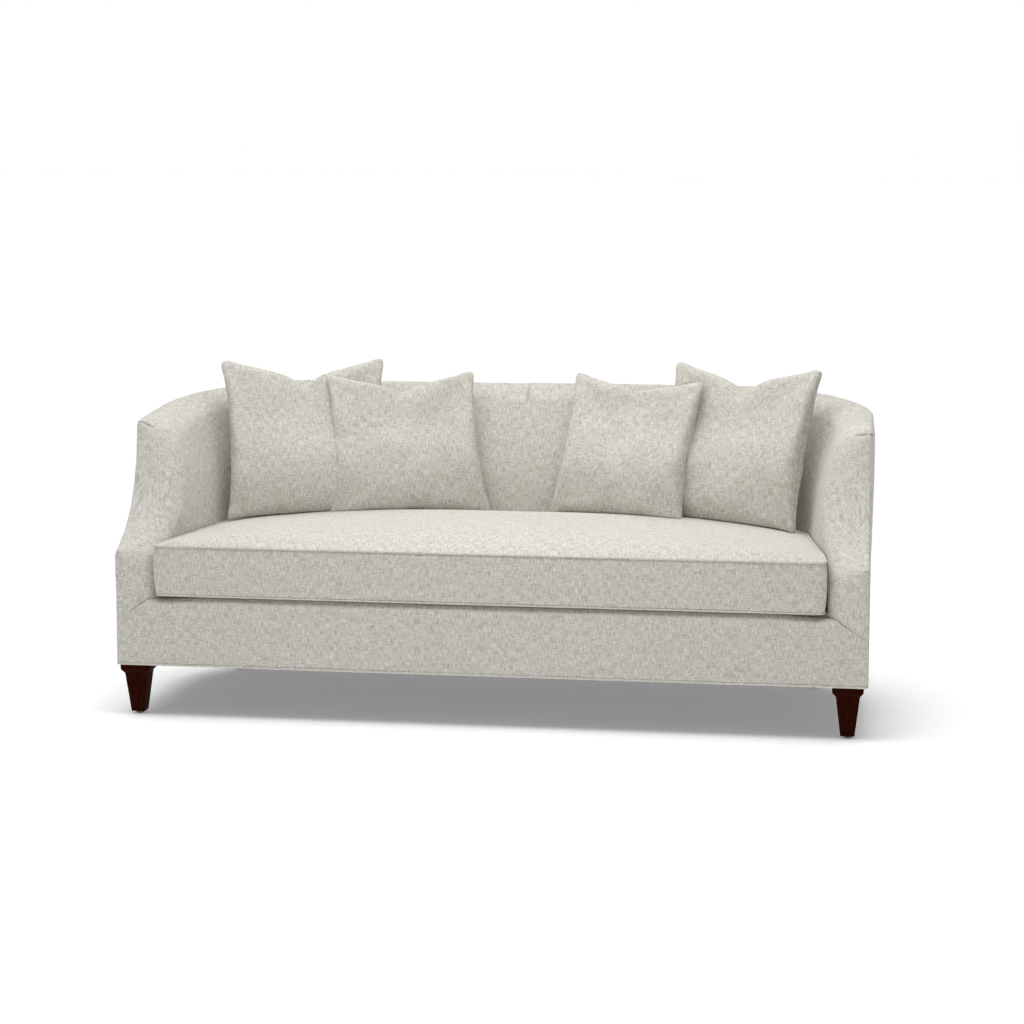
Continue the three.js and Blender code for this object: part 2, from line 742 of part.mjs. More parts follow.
function leg(x, y) {
  const capBottom = LEG_HEIGHT - LEG_CAP_HEIGHT;
  const body = squareProfile([
    [0, GLIDE_HEIGHT],
    [LEG_FOOT_WIDTH, GLIDE_HEIGHT],
    [LEG_TOP_WIDTH, capBottom - LEG_CAP_CHAMFER],
    [LEG_CAP_WIDTH, capBottom + LEG_CAP_CHAMFER],
    [LEG_CAP_WIDTH, LEG_HEIGHT],
    [0, LEG_HEIGHT],
  ]).translate(x, y, 0);
  const nailHole = rod(x, y, NAIL_RADIUS + GAP, 0, GLIDE_HEIGHT + NAIL_LENGTH + GAP);
  return cut(body, rod(x, y, BOLT_RADIUS + GAP, boltBottom - GAP, boltTop), nailHole);
}

function glide(x, y) {
  const seat = GLIDE_HEIGHT - GAP;
  const rows = [
    [0, 0],
    [GLIDE_RADIUS - GLIDE_EDGE, 0],
    [GLIDE_RADIUS, GLIDE_EDGE],
    [GLIDE_RADIUS, seat - GLIDE_EDGE],
    [GLIDE_RADIUS - GLIDE_EDGE, seat],
    [NAIL_RADIUS, seat],
    [NAIL_RADIUS, seat + NAIL_LENGTH],
    [0, seat + NAIL_LENGTH],
  ];
  const points = rows.map(([radius, height]) => new THREE.Vector2(radius, height));
  return new THREE.LatheGeometry(points, ROUND_STEPS).rotateX(Math.PI / 2).translate(x, y, 0);
}

for (const { name, x, y } of legPlaces) {
  for (const [side, sideX] of [['right', x], ['left', -x]]) {
    addPiece(`${name}_leg_${side}`, leg(sideX, y), mahogany());
    addPiece(`${name}_leg_bolt_${side}`, rod(sideX, y, BOLT_RADIUS, boltBottom, boltTop), steel());
    addPiece(`${name}_glide_${side}`, glide(sideX, y), steel());
  }
}

// Seat cushion: the plan line moved inward to the wall, with bulged boxing and a crowned top

const cushionBottom = deckTop + GAP;
const cushionCentre = new THREE.Vector2(0, (OVERALL_DEPTH - SEAT_THICKNESS) / 2);

function cushionOutline(inset) {
  const right = [];
  const front = CUSHION_SETBACK + inset;
  const side = (run) => seatThickness(run) + CUSHION_CLEARANCE + inset;
  for (let step = 0; step <= CUSHION_CORNER_STEPS; step++) {
    const angle = (step / CUSHION_CORNER_STEPS) * (Math.PI / 2);
    const along = front + CUSHION_CORNER * (1 - Math.cos(angle));
    const edge = planPoint(along, side(along));
    right.push(new THREE.Vector2(edge.x - CUSHION_CORNER * (1 - Math.sin(angle)), along));
  }
  for (let step = 1; step <= ARM_TOP_STEPS; step++) {
    const run = lerp(front + CUSHION_CORNER, armRun, step / ARM_TOP_STEPS);
    right.push(planPoint(run, side(run)));
  }
  for (let step = 1; step <= CORNER_STEPS; step++) {
    const run = lerp(armRun, backRun, step / CORNER_STEPS);
    right.push(planPoint(run, side(run)));
  }
  const back = right[right.length - 1];
  const frontX = right[0].x;
  for (const share of CUSHION_EDGE_SHARES) right.push(new THREE.Vector2(back.x * share, back.y));
  const left = right.map((p) => new THREE.Vector2(-p.x, p.y)).reverse();
  const frontLeft = CUSHION_EDGE_SHARES.map((share) => new THREE.Vector2(-frontX * share, front));
  const frontRight = frontLeft.map((p) => new THREE.Vector2(-p.x, p.y)).reverse();
  const backMiddle = new THREE.Vector2(0, back.y);
  const frontMiddle = new THREE.Vector2(0, front);
  return [...right, backMiddle, ...left, ...frontLeft, frontMiddle, ...frontRight];
}

function crownHeight(share) {
  return seatLevel + CUSHION_CROWN * (1 - share ** CROWN_POWER);
}

function seatCushion() {
  const edge = cushionOutline(CUSHION_BULGE);
  const middle = cushionOutline(0);
  const raised = (outline, height) => outline.map((p) => new THREE.Vector3(p.x, p.y, height));
  const rings = [
    raised(edge, cushionBottom),
    raised(middle, (cushionBottom + seatLevel) / 2),
    raised(edge, seatLevel),
  ];
  for (const share of CROWN_SHARES) {
    rings.push(edge.map((p) => new THREE.Vector3(
      lerp(cushionCentre.x, p.x, share), lerp(cushionCentre.y, p.y, share), crownHeight(share),
    )));
  }
  const count = edge.length;
  const points = rings.flat();
  points.push(new THREE.Vector3(cushionCentre.x, cushionCentre.y, cushionBottom));
  points.push(new THREE.Vector3(cushionCentre.x, cushionCentre.y, crownHeight(0)));
  const faces = [];
  const top = (rings.length - 1) * count;
  for (let corner = 0; corner < count; corner++) {
    const next = (corner + 1) % count;
    for (let ring = 0; ring < rings.length - 1; ring++) {
      const row = ring * count;
      quad(faces, row + corner, row + next, row + count + next, row + count + corner);
    }
    faces.push([next, corner, points.length - 2]);
    faces.push([top + corner, top + next, points.length - 1]);
  }
  return meshOf(points, faces);
}

const cushion = seatCushion();
addPiece('seat_cushion', cushion, fabric());

function cushionTop(x, y) {
  const outline = cushionOutline(CUSHION_BULGE);
  const angle = Math.atan2(y - cushionCentre.y, x - cushionCentre.x);
  let reach = Infinity;
  for (let corner = 0; corner < outline.length; corner++) {
    const a = outline[corner];
    const b = outline[(corner + 1) % outline.length];
    const dx = Math.cos(angle);
    const dy = Math.sin(angle);
    const ex = b.x - a.x;
    const ey = b.y - a.y;
    const spread = dx * ey - dy * ex;
    if (spread === 0) continue;
    const along = ((a.x - cushionCentre.x) * ey - (a.y - cushionCentre.y) * ex) / spread;
    const across = ((a.x - cushionCentre.x) * dy - (a.y - cushionCentre.y) * dx) / spread;
    if (along > 0 && across >= 0 && across <= 1) reach = Math.min(reach, along);
  }
  const share = Math.hypot(x - cushionCentre.x, y - cushionCentre.y) / reach;
  return share > 1 ? seatLevel : crownHeight(share);
}

// Throw pillows: two crowned faces that meet in a knife edge, drawn in between the corners

function pillowForm({ halfWidth: width, halfHeight: height, halfThickness, drawIn, dip }) {
  const points = [];
  const faces = [];
  const rim = (step) => step === 0 || step === PILLOW_STEPS;
  const faceGrids = [];
  for (const side of [1, -1]) {
    const grid = [];
    for (let row = 0; row <= PILLOW_STEPS; row++) {
      grid.push([]);
      for (let column = 0; column <= PILLOW_STEPS; column++) {
        if (side < 0 && (rim(row) || rim(column))) {
          grid[row].push(faceGrids[0][row][column]);
          continue;
        }
        const u = Math.sin(((2 * column) / PILLOW_STEPS - 1) * (Math.PI / 2));
        const v = Math.sin(((2 * row) / PILLOW_STEPS - 1) * (Math.PI / 2));
        const crown = ((1 - u * u) * (1 - v * v)) ** PILLOW_EDGE_POWER;
        const chop = Math.exp(-((u / PILLOW_DIP_WIDTH_SHARE) ** 2)) * ((1 + v) / 2) ** 3;
        points.push(new THREE.Vector3(
          u * (width - drawIn * (1 - v * v)),
          v * (height - drawIn * (1 - u * u)) - dip * chop,
          side * halfThickness * crown,
        ));
        grid[row].push(points.length - 1);
      }
    }
    faceGrids.push(grid);
    for (let row = 0; row < PILLOW_STEPS; row++) {
      for (let column = 0; column < PILLOW_STEPS; column++) {
        const [lower, upper] = [grid[row], grid[row + 1]];
        const corners = [lower[column], lower[column + 1], upper[column + 1], upper[column]];
        if (side > 0) quad(faces, ...corners);
        else quad(faces, ...corners.reverse());
      }
    }
  }
  return meshOf(points, faces);
}

function pillow(size, side) {
  const geometry = pillowForm(size);
  const turn = new THREE.Matrix4()
    .makeRotationZ(side * THREE.MathUtils.degToRad(-size.yaw))
    .multiply(new THREE.Matrix4().makeRotationX(Math.PI / 2 - THREE.MathUtils.degToRad(size.lean)))
    .multiply(new THREE.Matrix4().makeRotationZ(-side * THREE.MathUtils.degToRad(size.roll)));
  geometry.translate(0, size.halfHeight, 0);
  geometry.applyMatrix4(turn);
  geometry.translate(side * (halfWidth - size.sideInset), OVERALL_DEPTH - size.setback, 0);
  const places = geometry.attributes.position;
  let lift = 0;
  for (let corner = 0; corner < places.count; corner++) {
    const rest = cushionTop(places.getX(corner), places.getY(corner)) - places.getZ(corner);
    lift = Math.max(lift, rest);
  }
  return geometry.translate(0, 0, lift + GAP);
}

for (const [side, direction] of [['right', 1], ['left', -1]]) {
  addPiece(`rear_pillow_${side}`, pillow(REAR_PILLOW, direction), fabric());
  addPiece(`front_pillow_${side}`, pillow(FRONT_PILLOW, direction), fabric());
}

export default sofa;
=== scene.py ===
import math

import bmesh
import bpy
import numpy as np
from mathutils import Matrix, Vector, noise


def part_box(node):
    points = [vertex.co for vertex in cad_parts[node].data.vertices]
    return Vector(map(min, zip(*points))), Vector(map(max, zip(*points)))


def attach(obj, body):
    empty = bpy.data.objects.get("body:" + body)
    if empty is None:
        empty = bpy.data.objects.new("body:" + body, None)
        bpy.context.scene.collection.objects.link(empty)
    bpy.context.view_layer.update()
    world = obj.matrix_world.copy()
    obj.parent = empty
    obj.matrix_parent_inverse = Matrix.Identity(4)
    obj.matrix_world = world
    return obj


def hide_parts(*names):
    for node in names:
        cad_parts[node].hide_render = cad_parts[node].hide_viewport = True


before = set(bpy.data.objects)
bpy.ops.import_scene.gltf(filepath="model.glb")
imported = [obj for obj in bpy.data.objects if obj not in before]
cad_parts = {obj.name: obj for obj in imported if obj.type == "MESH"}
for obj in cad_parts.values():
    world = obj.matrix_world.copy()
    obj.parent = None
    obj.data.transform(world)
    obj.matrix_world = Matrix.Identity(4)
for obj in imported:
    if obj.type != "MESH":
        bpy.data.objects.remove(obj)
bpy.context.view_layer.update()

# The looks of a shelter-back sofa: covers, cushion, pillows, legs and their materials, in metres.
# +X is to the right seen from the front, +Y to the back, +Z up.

# Sizes of the covered frame
HALF_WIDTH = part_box("front_border")[1].x
HALF_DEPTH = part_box("outside_back")[1].y
COVER_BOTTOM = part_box("front_border")[0].z
BACK_HEIGHT = 0.888
ARM_HEIGHT = 0.838
ARM_DEPTH = 0.458
ARM_TOE = math.radians(1.6)
ARM_FRONT_HEIGHT = 0.474
SWEEP_DEPTH = 0.220
SWEEP_SHARES = [(0, 0), (0.68, 0.174), (0.955, 0.469), (1, 1)]
ARM_FRONT_THICKNESS = 0.112
SEAT_THICKNESS = 0.174
THICKENING_RUN = 0.560
ARM_TOP_THICKNESS = 0.104
BACK_TOP_THICKNESS = 0.072
ARM_BELLY = 0.013
BACK_BELLY = 0.020
BELLY_RUN = 0.20
ROLL_DROP = 0.054
SEAM_OUTER_HEIGHT = 0.276
SEAM_INNER_HEIGHT = 0.336
SEAM_BEND = 0.092
BORDER_HEIGHT = 0.345
BORDER_REACH = 0.045
BORDER_ROLL = 0.028

# Seams and welts
EDGE_RADIUS = 0.009
SEAM_INSET = 0.014
SEAM_TUCK = 0.004
TUCK = 0.003
TUCK_EASE = 0.0009
TUCK_STEP = 0.0008
TUCK_RUN = 0.0028
WELT_RADIUS = 0.0024
WELT_SINK = 0.0002
BOTTOM_WELT_RADIUS = 0.0034
BOTTOM_WELT_SINK = 0.0016
MITRE_LENGTH = 0.080
ELBOW_LENGTH = 0.034
STITCH_DEPTH = 0.0100
STITCH_REACH = 0.0018
STITCH_HOLD = 0.6
COVER_THICKNESS = 0.0015

# Seat cushion
CUSHION_CLEARANCE = 0.0025
CUSHION_SETBACK = 0.001
CUSHION_CORNER = 0.027
CUSHION_CROWN = 0.024
CROWN_OVERFILL = 0.004
MIDDLE_CROWN = 0.023
MIDDLE_SPAN = 0.45
CROWN_POWER = 3.5
FRONT_REACH = 0.34
CUSHION_RINGS = 34
CUSHION_FOOT = 0.003
BOXING_BULGE = 0.008
BOXING_TUCK = 0.0022
BOXING_ROWS = 24
BOTTOM_DRAW = 0.004
FLARE_LEFT = 0.018
FLARE_RIGHT = 0.004
FLARE_REACH = 0.025
FLARE_SPAN = 0.09
CUSHION_WELT = 0.0030
CUSHION_WELT_PROUD = 0.0020
CUSHION_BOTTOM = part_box("seat_cushion")[0].z
CUSHION_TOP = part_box("seat_cushion")[1].z
SEAT_LEVEL = CUSHION_TOP - CUSHION_CROWN
DECK_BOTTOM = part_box("seat_deck")[0].z
DECK_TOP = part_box("seat_deck")[1].z

# Facets
ROLL_RING_COUNT = 24
EDGE_RING_COUNT = 7
CORNER_POINTS = 9
FRONT_POINTS = 60
LINE_STEP = 0.001
WELT_STEP = 0.005
CORD_SIDES = 10
FRONT_ROWS = 36
SWEEP_STEPS = 44
ARM_TOP_STEPS = 26
ARM_TOP_CROWDING = 1.8
CORNER_STEPS = 60
BACK_STEPS = 50
ROOT_PASSES = 40

# Plan line and side profile

CORNER_RADIUS = 2 * HALF_DEPTH - ARM_DEPTH
ARM_RUN = (ARM_DEPTH + CORNER_RADIUS * math.sin(ARM_TOE)) / math.cos(ARM_TOE)
CORNER_RUN = CORNER_RADIUS * (math.pi / 2 - ARM_TOE)
BACK_RUN = ARM_RUN + CORNER_RUN
CORNER_X = HALF_WIDTH - ARM_RUN * math.sin(ARM_TOE) - CORNER_RADIUS * math.cos(ARM_TOE)
CORNER_Y = ARM_DEPTH - HALF_DEPTH
HALF_RUN = BACK_RUN + CORNER_X


def lerp(a, b, share):
    return a + (b - a) * share


def eased(share):
    held = np.clip(share, 0, 1)
    return held * held * (3 - 2 * held)


def crowded(steps):
    """Shares from 0 to 1 that crowd together at both ends."""
    return (1 - np.cos(np.linspace(0, math.pi, steps + 1))) / 2


def through(marks, counts):
    """Places from mark to mark, with a count of its own on each stretch."""
    stretches = [np.linspace(a, b, count)[1:] for a, b, count in zip(marks, marks[1:], counts)]
    return np.concatenate([marks[:1], *stretches])


def plan(run, inward):
    """A point of the right half's plan line at a run from the arm's front, moved inward."""
    run, inward = np.broadcast_arrays(np.asarray(run, float), np.asarray(inward, float))
    angle = ARM_TOE + np.clip(run - ARM_RUN, 0, CORNER_RUN) / CORNER_RADIUS
    arm_x = HALF_WIDTH - run * math.sin(ARM_TOE) - inward * math.cos(ARM_TOE)
    arm_y = run * math.cos(ARM_TOE) - inward * math.sin(ARM_TOE) - HALF_DEPTH
    corner_x = CORNER_X + (CORNER_RADIUS - inward) * np.cos(angle) - np.clip(run - BACK_RUN, 0, None)
    corner_y = CORNER_Y + (CORNER_RADIUS - inward) * np.sin(angle)
    on_arm = run <= ARM_RUN
    return np.where(on_arm, arm_x, corner_x), np.where(on_arm, arm_y, corner_y)


def placed(run, height, inward):
    x, y = plan(run, inward)
    return np.stack([x, y, np.broadcast_to(height, x.shape)], axis=-1)


def top_height(run):
    return lerp(ARM_HEIGHT, BACK_HEIGHT, eased((run - SWEEP_DEPTH) / (BACK_RUN - SWEEP_DEPTH)))


def sweep_points(shares, inset):
    """Points of the arm's swept front, moved inward at right angles to the curve."""
    corners = [np.array([x * SWEEP_DEPTH, lerp(ARM_FRONT_HEIGHT, ARM_HEIGHT, z)]) for x, z in SWEEP_SHARES]
    share = np.atleast_1d(shares)[:, None]
    rest = 1 - share
    weights = [rest ** 3, 3 * rest ** 2 * share, 3 * rest * share ** 2, share ** 3]
    slopes = [3 * rest ** 2, 6 * rest * share, 3 * share ** 2]
    point = sum(w * c for w, c in zip(weights, corners))
    along = sum(w * (b - a) for w, a, b in zip(slopes, corners, corners[1:]))
    along /= np.linalg.norm(along, axis=1, keepdims=True)
    return point + inset * np.stack([along[:, 1], -along[:, 0]], axis=1)


def root_of(rises):
    low, high = 0.0, 1.0
    for _ in range(ROOT_PASSES):
        middle = (low + high) / 2
        if rises(middle) < 0:
            low = middle
        else:
            high = middle
    return high


def sweep_ends(inset):
    """The shares of the sweep where it meets the upright front and the top, all moved inward."""
    def past_front(share):
        return sweep_points(share, inset)[0, 0] - inset

    def over_top(share):
        run, height = sweep_points(share, inset)[0]
        return height - top_height(run) + inset

    return root_of(past_front), root_of(over_top)


def seat_thickness(run):
    return lerp(ARM_FRONT_THICKNESS, SEAT_THICKNESS, eased(run / THICKENING_RUN))


def inner_face(run, height):
    """How far the inner face lies from the outer line."""
    top = lerp(ARM_TOP_THICKNESS, BACK_TOP_THICKNESS, eased((run - ARM_RUN) / CORNER_RUN))
    reach = top_height(run) - ROLL_DROP - SEAT_LEVEL
    lean = np.maximum((height - SEAT_LEVEL) / reach, 0)
    belly = lerp(ARM_BELLY, BACK_BELLY, eased((run - ARM_RUN) / CORNER_RUN)) * eased(run / BELLY_RUN)
    return lerp(seat_thickness(run), top, lean) + belly * np.sin(math.pi * np.minimum(lean, 1.5))


SEAM_INNER_X = float(plan(BORDER_REACH, seat_thickness(BORDER_REACH))[0])


def seam_height(x):
    """Height of the seam between the arm's front and the border: slanted, then level."""
    share = np.clip((HALF_WIDTH - x) / SEAM_BEND, 0, 1)
    return lerp(SEAM_OUTER_HEIGHT, SEAM_INNER_HEIGHT, share)


def lengths(line):
    """How far along a line each of its points lies."""
    steps = np.linalg.norm(np.diff(line, axis=0), axis=1)
    return np.concatenate([[0], np.cumsum(steps)])


def looped(line):
    """A closed line with its first point again at its end."""
    return np.vstack([line, line[:1]])


def rounded(line, reach):
    """A line with its corners rounded by a bell of this reach, and its ends held."""
    if reach < LINE_STEP / 2:
        return line
    along = lengths(line)
    even = np.linspace(0, along[-1], int(along[-1] / LINE_STEP))
    dense = np.stack([np.interp(even, along, line[:, i]) for i in range(line.shape[1])], axis=1)
    margin = int(3 * reach / LINE_STEP) + 1
    before = 2 * dense[0] - dense[margin:0:-1]
    after = 2 * dense[-1] - dense[-2:-margin - 2:-1]
    bell = np.exp(-0.5 * (np.arange(-margin, margin + 1) * LINE_STEP / reach) ** 2)
    bell /= bell.sum()
    padded = np.vstack([before, dense, after])
    smooth = np.stack([np.convolve(padded[:, i], bell, "valid") for i in range(line.shape[1])], axis=1)
    return np.stack([np.interp(along, even, smooth[:, i]) for i in range(line.shape[1])], axis=1)


# Meshes. A patch is its points, faces and cloth places; patches that share an edge are welded there.


def grid(points, uvs, flip=False):
    """A patch from a grid of points."""
    rows, columns = points.shape[:2]
    faces = []
    for row in range(rows - 1):
        for column in range(columns - 1):
            a = row * columns + column
            quad = (a, a + 1, a + columns + 1, a + columns)
            faces.append(quad[::-1] if flip else quad)
    return points.reshape(-1, 3), faces, np.asarray(uvs).reshape(-1, 2)


def mirrored(patch):
    """The left twin of a patch, whose cloth runs on past the middle."""
    points, faces, uvs = patch
    return points * [-1, 1, 1], [face[::-1] for face in faces], uvs * [-1, 1]


def both_sides(*patches):
    return [*patches, *[mirrored(patch) for patch in patches]]


def shown(name, data):
    """A new object of the scene that holds a mesh, a light or a camera."""
    made = bpy.data.objects.new(name, data)
    bpy.context.scene.collection.objects.link(made)
    return made


def make_piece(name, patches, body, material, shift=(0, 0)):
    """Welds patches into one piece that rides on a body. The shift moves the cloth's pattern."""
    places = {}
    points, faces, corners = [], [], []
    for patch_points, patch_faces, uvs in patches:
        index = []
        for key, point in zip(map(tuple, np.round(patch_points, 6) + 0.0), patch_points):
            if key not in places:
                places[key] = len(points)
                points.append(tuple(point))
            index.append(places[key])
        for face in patch_faces:
            welded = [index[i] for i in face]
            kept = [k for k in range(len(face)) if welded[k] != welded[k - 1]]
            if len(kept) > 2:
                faces.append([welded[k] for k in kept])
                corners += [uvs[face[k]] for k in kept]
    mesh = bpy.data.meshes.new(name)
    mesh.from_pydata(points, [], faces)
    layer = mesh.uv_layers.new(name="cloth")
    layer.data.foreach_set("uv", (np.array(corners) + shift).astype(np.float32).ravel())
    mesh.shade_smooth()
    mesh.materials.append(material)
    piece = shown(name, mesh)
    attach(piece, body)
    return piece


def backed(piece):
    """Gives a cover its own thickness, on the hidden side."""
    shell = piece.modifiers.new("backing", "SOLIDIFY")
    shell.thickness = COVER_THICKNESS
    shell.offset = -1


def softened(piece, height, size):
    """Lets a padded surface swell and dip a little, as hand-laid padding does."""
    mesh = piece.data
    for vertex in mesh.vertices:
        swell = noise.noise(vertex.co / size) + 0.5 * noise.noise(vertex.co * 2.3 / size)
        vertex.co += vertex.normal * (height * swell)
    mesh.update()


def cord_patch(path, radius, closed=False):
    """A round cord along a path, cut on the bias, with its ends closed."""
    path = np.asarray(path, float)
    along = lengths(path)
    if closed:
        ahead, behind = np.roll(path, -1, axis=0), np.roll(path, 1, axis=0)
    else:
        ahead, behind = np.vstack([path[1:], path[-1:]]), np.vstack([path[:1], path[:-1]])
    tangents = ahead - behind
    tangents /= np.linalg.norm(tangents, axis=1, keepdims=True)
    normal = np.cross(tangents[0], [0, 0, 1])
    if np.linalg.norm(normal) < 0.1:
        normal = np.cross(tangents[0], [0, 1, 0])
    angles = np.linspace(0, 2 * math.pi, CORD_SIDES + 1)
    rings = []
    for point, tangent in zip(path, tangents):
        normal = normal - tangent * np.dot(normal, tangent)
        normal /= np.linalg.norm(normal)
        across = np.cross(tangent, normal)
        ring = point + radius * (np.cos(angles)[:, None] * normal + np.sin(angles)[:, None] * across)
        ring[-1] = ring[0]
        rings.append(ring)
    if closed:
        rings.append(rings[0])
        along = np.append(along, along[-1] + np.linalg.norm(path[0] - path[-1]))
    rings = np.array(rings)
    along, around = along[:, None], angles * radius
    patch = grid(rings, np.stack([along + around, along - around], axis=-1) / math.sqrt(2), flip=True)
    if closed:
        return [patch]
    face = list(range(CORD_SIDES))
    no_place = np.zeros((CORD_SIDES, 2))
    return [patch, (rings[0][:-1], [face[::-1]], no_place), (rings[-1][:-1], [face], no_place)]


# Materials

LINEN_LIGHT = (0.790, 0.781, 0.745)
LINEN_MIDDLE = (0.645, 0.628, 0.578)
LINEN_DARK = (0.420, 0.394, 0.327)
LINEN_BROWN = (0.440, 0.387, 0.285)
LINEN_COOL = (0.610, 0.618, 0.603)
# Grains in a metre of linen, across a yarn and along one of its slubs
YARNS = 390
SLUBS = 48


def set_stops(elements, stops):
    """Gives a colour ramp its stops, each a position with a grey or a colour."""
    while len(elements) < len(stops):
        elements.new(0.5)
    for element, (position, color) in zip(elements, stops):
        element.position = position
        element.color = (*color, 1) if isinstance(color, tuple) else (color, color, color, 1)


class Shader:
    """A node material under construction."""

    def __init__(self, name):
        self.material = bpy.data.materials.new(name)
        self.material.use_nodes = True
        self.tree = self.material.node_tree
        self.surface = self.tree.nodes["Principled BSDF"]

    def node(self, kind, **settings):
        made = self.tree.nodes.new(kind)
        for key, value in settings.items():
            setattr(made, key, value)
        return made

    def link(self, start, end):
        self.tree.links.new(start, end)

    def set(self, **sockets):
        for key, value in sockets.items():
            self.surface.inputs[key.replace("_", " ")].default_value = value

    def noise(self, coordinates, stretch, detail, roughness, shift=(0, 0, 0)):
        """Noise whose grains measure 1 / stretch along each axis."""
        mapping = self.node("ShaderNodeMapping")
        mapping.inputs["Scale"].default_value = stretch
        mapping.inputs["Location"].default_value = shift
        self.link(coordinates, mapping.inputs["Vector"])
        made = self.node("ShaderNodeTexNoise")
        made.inputs["Scale"].default_value = 1.0
        made.inputs["Detail"].default_value = detail
        made.inputs["Roughness"].default_value = roughness
        self.link(mapping.outputs["Vector"], made.inputs["Vector"])
        return made.outputs["Fac"]

    def math(self, operation, first, second):
        made = self.node("ShaderNodeMath", operation=operation)
        for socket, value in zip(made.inputs, (first, second)):
            if isinstance(value, (int, float)):
                socket.default_value = value
            else:
                self.link(value, socket)
        return made.outputs[0]

    def mixed(self, *parts):
        """The sum of several values, each with its share."""
        total = None
        for value, share in parts:
            part = self.math("MULTIPLY", value, share)
            total = part if total is None else self.math("ADD", total, part)
        return total

    def ramp(self, factor, stops):
        made = self.node("ShaderNodeValToRGB")
        set_stops(made.color_ramp.elements, stops)
        self.link(factor, made.inputs["Fac"])
        return made.outputs["Color"]

    def mix(self, factor, first, second):
        made = self.node("ShaderNodeMix", data_type="RGBA")
        self.link(factor, made.inputs["Factor"])
        for socket, value in ((made.inputs[6], first), (made.inputs[7], second)):
            if isinstance(value, tuple):
                socket.default_value = (*value, 1)
            else:
                self.link(value, socket)
        return made.outputs[2]

    def bump(self, height, distance, strength):
        made = self.node("ShaderNodeBump")
        made.inputs["Distance"].default_value = distance
        made.inputs["Strength"].default_value = strength
        self.link(height, made.inputs["Height"])
        self.link(made.outputs["Normal"], self.surface.inputs["Normal"])

    def color(self, value):
        self.link(value, self.surface.inputs["Base Color"])

    def roughness(self, value):
        self.link(value, self.surface.inputs["Roughness"])


def linen(name, seed):
    """Heathered linen: light yarns with slubs along warp and weft, and brown and grey flecks."""
    shader = Shader(name)
    cloth = shader.node("ShaderNodeUVMap", uv_map="cloth").outputs["UV"]
    place = (seed * 3.1, seed * 1.7, 0)
    weft = shader.noise(cloth, (SLUBS, YARNS, 1), 2.0, 0.55, place)
    warp = shader.noise(cloth, (YARNS, SLUBS, 1), 2.0, 0.55, place)
    mottle = shader.noise(cloth, (22, 32, 1), 2.0, 0.6, place)
    flecks = shader.noise(cloth, (80, 360, 1), 3.0, 0.65, place)
    grain = shader.noise(cloth, (760, 760, 1), 1.0, 0.5, place)
    heather = shader.mixed((weft, 0.36), (warp, 0.36), (mottle, 0.20), (flecks, 0.08))
    color = shader.ramp(heather, [(0.41, LINEN_DARK), (0.50, LINEN_MIDDLE), (0.58, LINEN_LIGHT)])
    brown = shader.ramp(shader.mixed((weft, 0.3), (flecks, 0.3), (mottle, 0.4)), [(0.52, 0.0), (0.60, 0.75)])
    color = shader.mix(brown, color, LINEN_BROWN)
    cool = shader.ramp(shader.mixed((weft, 0.4), (mottle, 0.6)), [(0.34, 0.4), (0.45, 0.0)])
    shader.color(shader.mix(cool, color, LINEN_COOL))
    shader.bump(shader.mixed((weft, 0.4), (warp, 0.4), (grain, 0.5)), 0.0010, 0.25)
    shader.roughness(shader.ramp(grain, [(0.3, 0.86), (0.7, 0.96)]))
    shader.set(Sheen_Weight=0.15, Sheen_Roughness=0.6, Specular_IOR_Level=0.15)
    return shader.material


def wood(name, light, dark, roughness, gloss):
    shader = Shader(name)
    place = shader.node("ShaderNodeTexCoord").outputs["Object"]
    grain = shader.noise(place, (260, 260, 9), 4.0, 0.6)
    pores = shader.noise(place, (900, 900, 40), 2.0, 0.6)
    shader.color(shader.ramp(grain, [(0.35, dark), (0.62, light)]))
    shader.roughness(shader.ramp(pores, [(0.4, roughness + 0.12), (0.6, roughness)]))
    shader.bump(pores, 0.0002, 0.3)
    shader.set(Specular_IOR_Level=gloss)
    return shader.material


def metal(name, light, dark, roughness):
    shader = Shader(name)
    place = shader.node("ShaderNodeTexCoord").outputs["Object"]
    stains = shader.noise(place, (120, 120, 120), 3.0, 0.6)
    scratches = shader.noise(place, (1400, 1400, 200), 1.0, 0.5)
    shader.color(shader.ramp(stains, [(0.4, dark), (0.6, light)]))
    shader.roughness(shader.ramp(scratches, [(0.3, roughness), (0.7, roughness + 0.15)]))
    shader.set(Metallic=1.0)
    return shader.material


def plain_cloth(name, light, dark):
    """A thin plain weave, such as decking or dust cloth."""
    shader = Shader(name)
    place = shader.node("ShaderNodeTexCoord").outputs["Object"]
    fibres = shader.noise(place, (500, 500, 500), 3.0, 0.7)
    clouds = shader.noise(place, (14, 14, 14), 2.0, 0.5)
    shader.color(shader.ramp(shader.mixed((fibres, 0.7), (clouds, 0.3)), [(0.35, dark), (0.65, light)]))
    shader.bump(fibres, 0.0006, 0.5)
    shader.set(Roughness=0.95, Specular_IOR_Level=0.2)
    return shader.material


cover_linen = linen("cover_linen", 1)
cushion_linen = linen("cushion_linen", 2)
pillow_linen = linen("pillow_linen", 3)
leg_mahogany = wood("leg_mahogany", (0.034, 0.0052, 0.0014), (0.012, 0.0016, 0.0005), 0.42, 0.015)
frame_hardwood = wood("frame_hardwood", (0.56, 0.40, 0.23), (0.40, 0.26, 0.13), 0.6, 0.3)
spring_steel = metal("spring_steel", (0.36, 0.36, 0.37), (0.18, 0.18, 0.19), 0.35)
glide_metal = metal("glide_metal", (0.30, 0.28, 0.26), (0.14, 0.13, 0.12), 0.35)
decking = plain_cloth("decking", (0.52, 0.50, 0.45), (0.40, 0.38, 0.33))
dust_lining = plain_cloth("dust_lining", (0.016, 0.016, 0.018), (0.008, 0.008, 0.009))

